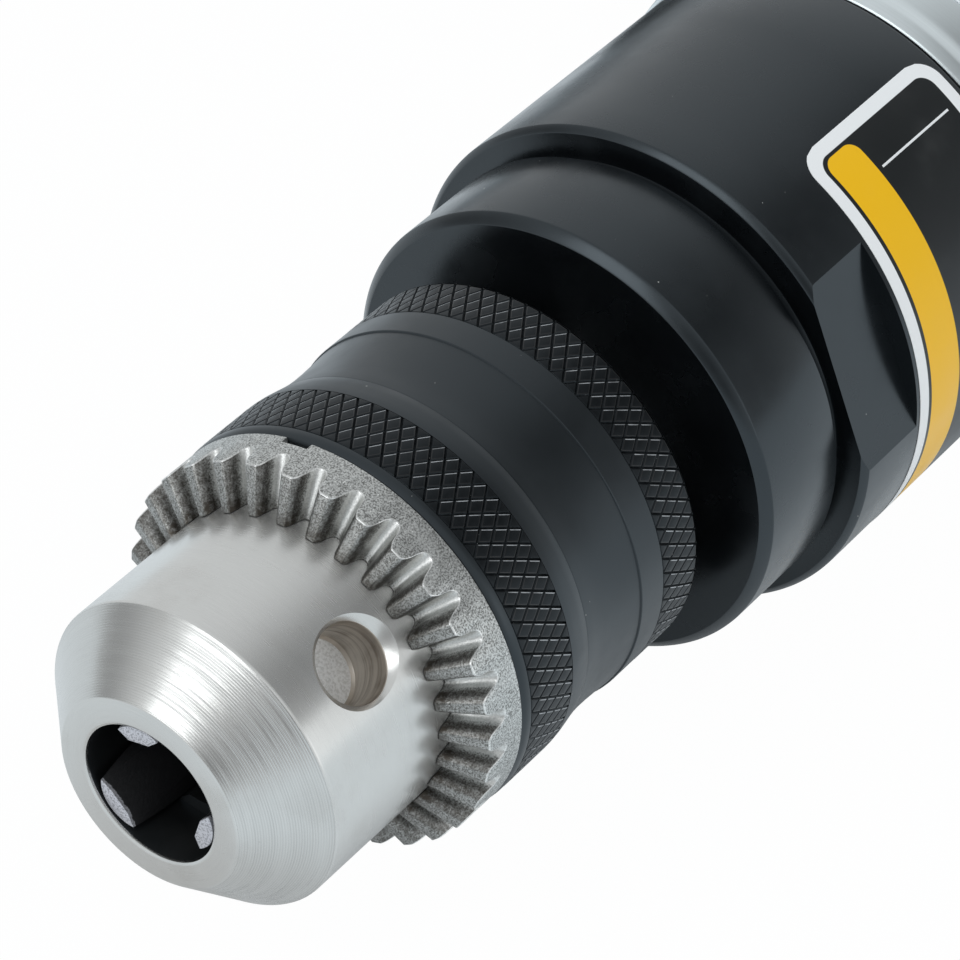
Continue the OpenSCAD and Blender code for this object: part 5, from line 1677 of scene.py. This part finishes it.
@dataclass
class Housing:
    """The alloy housing: a machined front land and the cast barrel with its handle."""

    spigot_s: float = 89.0
    spigot_r: float = 22.3
    front_s: float = 96.3
    land_s: float = 103.0
    barrel_r: float = 24.6
    back_s: float = 183.0
    round_r: float = 14.0
    round_steps: int = 12
    motor_r: float = 20.4
    handle_len: float = 134.0
    handle_s: float = 160.2
    handle_lean: float = 5.0
    half_depth: float = 21.5
    half_width: float = 16.5
    power: float = 0.84
    corners: int = 72
    loft_steps: int = 3
    voxel: float = 0.75
    fillet_rounds: int = 10
    shoulder: Outline = (
        (96.3, 23.75), (96.4, 23.92), (96.55, 23.98), (97.7, 24.06), (98.0, 24.14), (98.35, 24.32), (98.7, 24.48),
        (99.05, 24.57), (99.5, 24.6),
    )
    motor_bore: Outline = ((90.0, 0.0), (90.0, 20.4), (152.7, 20.4), (152.7, 14.0), (163.7, 14.0), (163.7, 0.0))
    throttle_bore: Outline = (
        (110.0, 0.0), (110.0, 4.62), (153.0, 4.62), (153.0, 6.0), (178.0, 6.0), (178.0, 7.52), (200.0, 7.52),
        (200.0, 0.0),
    )
    throttle_drop: float = 44.0
    inlet_bore: Outline = ((-118.8, 0.0), (-118.8, 8.62), (-150.0, 8.62), (-150.0, 0.0))
    inlet_s: float = 161.0
    exhaust_pocket: tuple[Point, Point] = ((-183.5, -150.0, -10.5), (-176.5, -125.0, 10.5))
    screw_bore: Outline = ((-127.9, 0.0), (-127.9, 1.22), (-150.0, 1.22), (-150.0, 0.0))
    screw_s: float = 180.0
    screw_at: float = 12.47
    sections: tuple[Point, ...] = (
        (0.06, 1.14, 1.10), (0.13, 1.07, 1.05), (0.22, 1.02, 1.02), (0.34, 0.99, 0.99), (0.48, 0.955, 0.965),
        (0.62, 0.925, 0.945), (0.76, 0.92, 0.95), (0.88, 0.945, 0.98), (0.96, 0.98, 1.03), (1.0, 1.0, 1.06),
    )

    def build(self) -> None:
        """Model and dress the land and the casting."""
        self.land()
        self.casting()

    def land(self) -> None:
        """Turn the machined front land with its spigot."""
        outline = [(self.spigot_s, self.motor_r), (self.spigot_s, self.spigot_r - 0.2)]
        outline += [(self.spigot_s + 0.2, self.spigot_r), (self.front_s, self.spigot_r), *self.shoulder]
        outline += [(self.land_s - 0.5, self.barrel_r), (self.land_s - 0.2, self.barrel_r - 0.04)]
        outline += [(self.land_s, self.barrel_r - 0.2), (self.land_s, self.motor_r)]
        piece = Shop.lathe("housing_land", outline, steps=FINE_STEPS, closed=True)
        Shop.finish(piece, "tool", "housing_alloy", MACHINED_ALLOY, ["housing"], degrees=22.0)

    def centre(self, drop: float) -> float:
        """Return the place s of the handle's middle, so far below the spindle in millimetres."""
        return self.handle_s + drop * math.tan(math.radians(self.handle_lean))

    def grip(self) -> bpy.types.Object:
        """Loft the handle from section to section.

        Returns:
            The handle as a closed mesh.
        """
        def signed(value: float) -> float:
            """Return the handle's power of a value from -1 to 1, with the value's sign."""
            return math.copysign(abs(value) ** self.power, value)

        share, depth, width = self.sections[0]
        drop = share * self.handle_len
        points = []
        for corner in range(self.corners):
            angle = 2 * math.pi * corner / self.corners
            s = self.centre(drop) + self.half_depth * depth * signed(math.sin(angle))
            points.append((-s * MM, -drop * MM, self.half_width * width * signed(math.cos(angle)) * MM))
        piece = Shop.wire("grip", points, closed=True)
        with Bench(piece) as bench:
            bpy.ops.mesh.edge_face_add()
            bench.everything()
            for (share, depth, width), (next_share, next_depth, next_width) in zip(self.sections, self.sections[1:]):
                for step in range(self.loft_steps):
                    low, high = step / self.loft_steps, (step + 1) / self.loft_steps
                    drops = [(share + (next_share - share) * part) * self.handle_len for part in (low, high)]
                    deep = [depth + (next_depth - depth) * part for part in (low, high)]
                    wide = [width + (next_width - width) * part for part in (low, high)]
                    shift = self.centre(drops[1]) - self.centre(drops[0])
                    bench.extrude((-shift * MM, -(drops[1] - drops[0]) * MM, 0.0))
                    spot = (-self.centre(drops[1]) * MM, -drops[1] * MM, 0.0)
                    bench.scale((deep[1] / deep[0], 1.0, wide[1] / wide[0]), spot)
            bench.weld()
        return piece

    def casting(self) -> None:
        """Join barrel and handle into one casting with soft fillets, and bore it."""
        barrel = [(self.land_s + 0.05, 0.0), (self.land_s + 0.05, self.barrel_r - 0.02)]
        flat = self.back_s - self.round_r
        barrel += [(flat - 40.0, self.barrel_r), (flat, self.barrel_r)]
        for step in range(1, self.round_steps + 1):
            angle = math.pi / 2 * step / self.round_steps
            radius = self.barrel_r - self.round_r + self.round_r * math.cos(angle)
            barrel.append((flat + self.round_r * math.sin(angle), radius))
        barrel.append((self.back_s, 0.0))
        piece = Shop.lathe("housing_casting", barrel, steps=160)
        Shop.join(piece, self.grip())
        Shop.modify(piece, "REMESH", mode="VOXEL", voxel_size=self.voxel * MM)
        Shop.modify(piece, "SMOOTH", factor=0.5, iterations=self.fillet_rounds)
        for tool in self.bores():
            Shop.carve(piece, tool)
        Shop.finish(piece, "tool", "housing_alloy", CAST_ALLOY, ["housing"], degrees=35.0)

    def bores(self) -> list[bpy.types.Object]:
        """Make the tools that bore the casting for the motor, the throttle, the inlet and the exhaust.

        Returns:
            The tools.
        """
        throttle = Shop.lathe("drill", self.throttle_bore, steps=DRILLED_STEPS)
        inlet = Shop.lathe("drill", self.inlet_bore, steps=DRILLED_STEPS)
        tools = [
            Shop.lathe("drill", self.motor_bore),
            Shop.shift(throttle, (0.0, -self.throttle_drop, 0.0)),
            Shop.place(inlet, HANDLE_WAY, (-self.inlet_s, 0.0, 0.0)),
            Shop.block("drill", *self.exhaust_pocket),
        ]
        for hand in (-1.0, 1.0):
            screw = Shop.lathe("drill", self.screw_bore, steps=32)
            tools.append(Shop.place(screw, HANDLE_WAY, (-self.screw_s, 0.0, hand * self.screw_at)))
        return tools


@dataclass
class Throttle:
    """The parts of the throttle that show: trigger and valve cap."""

    drop: float = 44.0
    trigger_s: float = 124.0
    width: float = 14.0
    height: float = 27.0
    depth: float = 11.0
    round_r: float = 4.0
    finger_r: float = 22.0
    finger_depth: float = 2.4
    rod_r: float = 2.52
    rod_s: float = 128.3
    rod_end_s: float = 160.0
    pin_s: float = 130.4
    pin_r: float = 1.02
    reach: float = 20.0
    cap_s: float = 178.1
    cap_r: float = 7.5
    cap_len: float = 8.0
    seal_r: float = 0.9
    socket: float = 2.5

    def build(self) -> None:
        """Model and dress the trigger and the valve cap."""
        self.trigger()
        self.cap()

    def trigger(self) -> None:
        """Model the trigger: a block with round edges, a finger hollow and its rod hole."""
        low = (-self.trigger_s - self.depth, -self.drop - self.height / 2, -self.width / 2)
        high = (-self.trigger_s, -self.drop + self.height / 2, self.width / 2)
        piece = Shop.block("trigger_shoe", low, high)
        with Bench(piece) as bench:
            bench.pick_sharp(30.0)
            bench.bevel(self.round_r, 8)
            bench.weld()
        groove = Shop.prism("hollow", 160, self.finger_r, -self.reach, self.reach)
        middle = (-(self.trigger_s + self.finger_depth - self.finger_r), -self.drop, 0.0)
        Shop.carve(piece, Shop.place(groove, UPWARDS, middle))
        hole = Shop.prism("hole", 64, self.rod_r, -self.rod_end_s, -self.rod_s)
        Shop.carve(piece, Shop.shift(hole, (0.0, -self.drop, 0.0)))
        pin = Shop.prism("hole", 48, self.pin_r, -self.reach, self.reach)
        Shop.carve(piece, Shop.place(pin, UPWARDS, (-self.pin_s, -self.drop, 0.0)))
        Shop.finish(piece, "trigger", "trigger_plastic", TRIGGER_PLASTIC, ["trigger"], degrees=24.0)

    def cap(self) -> None:
        """Turn the valve cap and broach its socket."""
        back = self.cap_s + self.cap_len
        outline = [(self.cap_s, 0.0), (self.cap_s, self.cap_r - 0.3), (self.cap_s + 0.3, self.cap_r)]
        groove = self.cap_s + self.cap_len / 4
        for step in range(9):
            angle = math.pi * step / 8
            outline.append((groove - self.seal_r * math.cos(angle), self.cap_r - self.seal_r * math.sin(angle)))
        outline += [(back - 0.7, self.cap_r), (back - 0.2, self.cap_r - 0.25), (back, self.cap_r - 0.7), (back, 0.0)]
        piece = Shop.lathe("valve_plug", outline)
        key = Shop.prism("key", 6, self.socket / math.cos(math.pi / 6), -back - 5.0, -back + 4.0)
        Shop.carve(piece, key)
        Shop.shift(piece, (0.0, -self.drop, 0.0))
        Shop.finish(piece, "tool", "plated_steel", PLATED, ["valve_cap"], degrees=24.0)


@dataclass
class AirPath:
    """The foot of the handle: inlet bushing, exhaust deflector and its screws."""

    inlet_s: float = 161.0
    inlet_floor: float = 120.1
    thread_r: float = 8.6
    hex_half: float = 10.3
    hex_top: float = 134.9
    hex_end: float = 146.9
    bore_r: float = 5.8
    bore_from: float = 131.9
    through_r: float = 4.18
    pitch: float = 1.41
    thread_depth: float = 0.55
    hex_chamfer: float = 0.95
    deflector_s: float = 180.0
    deflector_top: float = 134.1
    deflector_t: float = 3.0
    deflector_w: float = 29.0
    deflector_d: float = 11.0
    deflector_round: float = 3.0
    slot_w: float = 1.8
    slot_len: float = 6.0
    screw_at: float = 12.47
    screw_head_r: float = 2.1
    screw_end: float = 138.6
    screw_r: float = 1.2
    screw_top: float = 128.2
    screw_socket: float = 0.9

    def build(self) -> None:
        """Model and dress the bushing, the deflector and the screws."""
        self.bushing()
        self.deflector()
        self.screws()

    def thread(self, start: float, end: float, first: float, second: float) -> list[tuple[float, float]]:
        """Return the zigzag outline of a thread.

        Args:
            start: where it starts.
            end: where it has to end.
            first: the radius at the start of each turn.
            second: the radius in the middle of each turn.

        Returns:
            Points (s, r).
        """
        points = []
        while start + self.pitch < end:
            points += [(-start, first), (-start - self.pitch / 2, second)]
            start += self.pitch
        return points

    def bushing(self) -> None:
        """Model the inlet bushing: a chamfered hexagon with threads outside and in."""
        corner = self.hex_half / math.cos(math.pi / 6)
        top, end, root = -self.hex_top, -self.hex_end, self.hex_half - 0.1
        hexagon = Shop.prism("bushing", 6, corner, self.hex_top, self.hex_end)
        chamfer = [(top + 0.01, 0.0), (top + 0.01, root), (top - self.hex_chamfer, corner + 0.05)]
        chamfer += [(end + self.hex_chamfer, corner + 0.05), (end - 0.01, root), (end - 0.01, 0.0)]
        Shop.carve(hexagon, Shop.lathe("chamfer", chamfer), Cut.INTERSECT)
        stem = [(-self.inlet_floor, 0.0), (-self.inlet_floor, self.thread_r - 0.5)]
        stem += self.thread(
            self.inlet_floor + 0.5, self.hex_top - 1.0, self.thread_r, self.thread_r - self.thread_depth
        )
        stem += [(top + 0.8, self.thread_r), (top - 1.0, self.thread_r), (top - 1.0, 0.0)]
        Shop.carve(hexagon, Shop.lathe("stem", stem), Cut.UNION)
        bore = [(-self.inlet_floor + 2.0, 0.0), (-self.inlet_floor + 2.0, self.through_r)]
        bore += [(-self.bore_from, self.through_r)]
        bore += self.thread(self.bore_from + 0.3, self.hex_end - 0.8, self.bore_r - self.thread_depth, self.bore_r)
        bore += [(end + 0.7, self.bore_r), (end - 0.05, self.bore_r + 0.8)]
        bore += [(end - 2.0, self.bore_r + 0.8), (end - 2.0, 0.0)]
        Shop.carve(hexagon, Shop.lathe("bore", bore))
        Shop.place(hexagon, HANDLE_WAY, (-self.inlet_s, 0.0, 0.0))
        Shop.finish(hexagon, "tool", "plated_steel", PLATED, ["inlet_bushing"], degrees=26.0)

    def deflector(self) -> None:
        """Model the exhaust deflector: a plate with round corners, slots and screw holes."""
        half_w, half_d = self.deflector_w / 2, self.deflector_d / 2
        top, end = -self.deflector_top, -self.deflector_top - self.deflector_t
        low, high = (-self.deflector_s - half_d, end, -half_w), (-self.deflector_s + half_d, top, half_w)
        piece = Shop.block("deflector", low, high)
        with Bench(piece) as bench:
            bench.pick(Kind.EDGE, lambda edge: abs(edge.verts[0].co.y - edge.verts[1].co.y) > MM)
            bench.bevel(self.deflector_round, 8)
            bench.pick_sharp(60.0, lambda spot: spot.y < (end + 0.1) * MM)
            bench.bevel(0.6, 3)
            bench.weld()
        for number in range(4):
            at = (number - 1.5) * 2 * self.slot_w
            half = self.slot_w / 2
            slot = Shop.block(
                "slot",
                (-self.deflector_s - self.slot_len / 2, end - 2.0, at - half),
                (-self.deflector_s + self.slot_len / 2, top + 2.0, at + half),
            )
            Shop.carve(piece, slot)
        for hand in (-1.0, 1.0):
            hole = Shop.prism("hole", 32, self.screw_r + 0.02, 120.0, 160.0)
            Shop.carve(piece, Shop.place(hole, HANDLE_WAY, (-self.deflector_s, 0.0, hand * self.screw_at)))
        Shop.finish(piece, "tool", "deflector_plastic", DEFLECTOR_PLASTIC, ["exhaust_deflector"], degrees=30.0)

    def screws(self) -> None:
        """Turn the two deflector screws and broach their sockets."""
        under = self.deflector_top + self.deflector_t
        made = []
        for hand in (-1.0, 1.0):
            outline = [(-self.screw_top, 0.0), (-self.screw_top, self.screw_r)]
            outline += [(-under, self.screw_r), (-under, self.screw_head_r)]
            outline += [(-under - 0.7, self.screw_head_r), (-under - 1.2, self.screw_head_r - 0.3)]
            outline += [(-self.screw_end, self.screw_head_r - 0.9), (-self.screw_end, 0.0)]
            piece = Shop.lathe("deflector_screw_heads", outline, steps=64)
            key = Shop.prism("key", 6, self.screw_socket, self.screw_end - 0.9, self.screw_end + 2.0)
            Shop.carve(piece, key)
            made.append(Shop.place(piece, HANDLE_WAY, (-self.deflector_s, 0.0, hand * self.screw_at)))
        piece = Shop.join(*made)
        Shop.finish(piece, "tool", "plated_steel", PLATED, ["deflector_screws"], degrees=26.0)


@dataclass
class Internals:
    """The CAD nodes that keep their shape and get a finish by their material slot."""

    nodes: Mapping[str, bpy.types.Object]
    valve_travel: float = 5.0

    def build(self) -> None:
        """Dress every CAD node, and give the valve spring a mesh of its own."""
        made = (
            CHUCK_STEEL, JAW_STEEL, SINTERED, BLACK_OXIDE, CASE_BLACK, BEARING, GEAR, BRONZE, MOTOR_IRON, VANE_FIBRE,
            TRIGGER_PLASTIC, RUBBER, PLATED, FELT, DEFLECTOR_PLASTIC,
        )
        finishes: dict[str, Finish] = {finish.name: finish for finish in made}
        finishes["housing_alloy"] = MACHINED_ALLOY
        for name, node in self.nodes.items():
            for slot in node.material_slots:
                key = slot.material.name.split(".")[0] if slot.material else ""
                if key in finishes:
                    slot.material = finishes[key].material()
                else:
                    LOG.warning("node %s has no finish for %s", name, key)
        spring = self.nodes["valve_spring"]
        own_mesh(spring)
        LOG.info("dressed %d CAD nodes", len(self.nodes))


@dataclass(frozen=True)
class Lamp:
    """A soft lamp: where it hangs, what it faces, its width and height, and its level, where 1 is white."""

    name: str
    spot: Point
    target: Point
    size: tuple[float, float]
    level: float

    def hang(self, tone: Colour) -> None:
        """Add the lamp to the scene.

        Args:
            tone: the colour of its light.
        """
        data = bpy.data.lights.new(self.name, "AREA")
        data.shape = "RECTANGLE"
        data.size, data.size_y = (side * MM for side in self.size)
        data.energy = self.level * math.pi * data.size * data.size_y
        data.color = tone
        lamp = bpy.data.objects.new(self.name, data)
        bpy.context.scene.collection.objects.link(lamp)
        lamp.location = Vector(self.spot) * MM
        lamp.rotation_euler = (Vector(self.spot) - Vector(self.target)).to_track_quat("Z", "Y").to_euler()


@dataclass(frozen=True)
class DarkSide:
    """A darker side of the studio: its direction, how narrow it is and how much light it takes."""

    way: Point
    power: float
    share: float


@dataclass
class Studio:
    """Floor, light and camera."""

    floor_z: float = -24.65
    floor_half: float = 3000.0
    lens: float = 166.29
    sensor: float = 36.0
    clip: tuple[float, float] = (0.01, 20.0)
    eye: Point = (186.44, 170.87, 243.70)
    right: Point = (-0.59588, 0.80305, 0.0)
    up: Point = (-0.51651, -0.38332, 0.76565)
    back: Point = (0.61486, 0.45626, 0.64325)
    tone: Colour = (0.965, 1.0, 1.025)
    sky: float = 0.85
    least_sky: float = 0.04
    dark_sides: tuple[DarkSide, ...] = (
        DarkSide((-0.61, 0.48, 0.63), 9.0, 0.70),
        DarkSide((0.83, 0.49, 0.27), 12.0, 0.62),
        DarkSide((0.40, -0.90, 0.14), 12.0, 0.5),
        DarkSide((-0.61, 0.785, 0.09), 30.0, 0.4),
    )
    lamps: tuple[Lamp, ...] = (
        Lamp("key", (819.0, -165.0, 660.0), (-50.0, 0.0, 0.0), (620.0, 800.0), 1.75),
        Lamp("card", (-56.0, 128.0, 30.0), (-14.0, 0.0, 0.0), (92.0, 54.0), 0.8),
    )
    paper: Colour = (0.8, 0.8, 0.8)
    bounce: Colour = (0.90, 0.99, 1.05)
    seen_share: float = 0.985
    shade_from: float = 5.0
    shade_to: float = 40.0
    shade: tuple[float, float] = (0.2, 0.97)
    dip_from: float = -100.0
    dip_to: float = -50.0
    dip: float = 0.3

    def build(self) -> None:
        """Set up the view, the floor, the light and the camera."""
        bpy.context.scene.view_settings.view_transform = "Standard"
        self.floor()
        self.surroundings()
        for lamp in self.lamps:
            lamp.hang(self.tone)
        self.camera()

    def floor(self) -> None:
        """Lay the pale floor: white to the camera, and grey in reflections next to the object."""
        spot = (0.0, 0.0, self.floor_z * MM)
        plane = Shop.add("floor", bpy.ops.mesh.primitive_plane_add, size=2 * self.floor_half * MM, location=spot)
        material = bpy.data.materials.new("floor_paper")
        material.use_nodes = True
        graph = Graph(material.node_tree)
        rays = graph.add("ShaderNodeLightPath", output="Is Camera Ray")
        seen = rays.most(graph.twin(rays, "Is Transmission Ray")) * self.seen_share
        _, x, y, _ = graph.place()
        far = abs(y).most(x).ramp(self.shade_from * MM, self.shade_to * MM, *self.shade)
        dip = (y < 0.0) * x.ramp(self.dip_from * MM, self.dip_to * MM, 0.0, self.dip)
        glossy = graph.twin(rays, "Is Glossy Ray") * (far - dip)
        paper = graph.add("ShaderNodeBsdfDiffuse", values={"Color": (*self.paper, 1.0)})
        white = graph.add("ShaderNodeEmission", values={"Color": graph.mix(seen, self.bounce, WHITE), "Strength": 1.0})
        graph.out(graph.add("ShaderNodeMixShader", values={0: seen.most(glossy), 1: paper, 2: white}))
        plane.data.materials.append(material)

    def surroundings(self) -> None:
        """Make the world: white to the camera, and a soft studio with darker sides to everything else."""
        world = bpy.data.worlds.new("studio")
        world.use_nodes = True
        graph = Graph(world.node_tree)
        way = graph.add("ShaderNodeTexCoord", output="Generated")
        light: Operand = self.sky
        for side in self.dark_sides:
            unit = tuple(Vector(side.way).normalized())
            dot = graph.add("ShaderNodeVectorMath", {"operation": "DOT_PRODUCT"}, {0: way, 1: unit}, output="Value")
            light = light - dot.most(0.0) ** side.power * side.share
        rays = graph.add("ShaderNodeLightPath", output="Is Camera Ray")
        seen = rays.most(graph.twin(rays, "Is Transmission Ray"))
        strength = light.most(self.least_sky) * (1.0 - seen) + seen
        colour = graph.mix(seen, self.tone, WHITE)
        background = graph.add("ShaderNodeBackground", values={"Color": colour, "Strength": strength})
        node = graph.tree.nodes.new("ShaderNodeOutputWorld")
        graph.tree.links.new(background.socket, node.inputs["Surface"])
        bpy.context.scene.world = world

    def camera(self) -> None:
        """Set the camera where the photograph was taken from."""
        data = bpy.data.cameras.new("camera")
        data.sensor_width = self.sensor
        data.lens = self.lens
        data.clip_start, data.clip_end = self.clip
        camera = bpy.data.objects.new("camera", data)
        bpy.context.scene.collection.objects.link(camera)
        turn = Matrix((Vector(self.right), Vector(self.up), Vector(self.back))).transposed()
        camera.rotation_euler = turn.to_euler()
        camera.location = Vector(self.eye) * MM
        bpy.context.scene.camera = camera


def main() -> None:
    """Build every sub-assembly in order."""
    logging.basicConfig(level=logging.INFO, format="%(name)s: %(message)s")
    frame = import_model()
    Internals(frame["nodes"]).build()
    Chuck().build()
    GearCase().build()
    Housing().build()
    Throttle().build()
    AirPath().build()
    Studio().build()


if __name__ == "__main__":
    main()
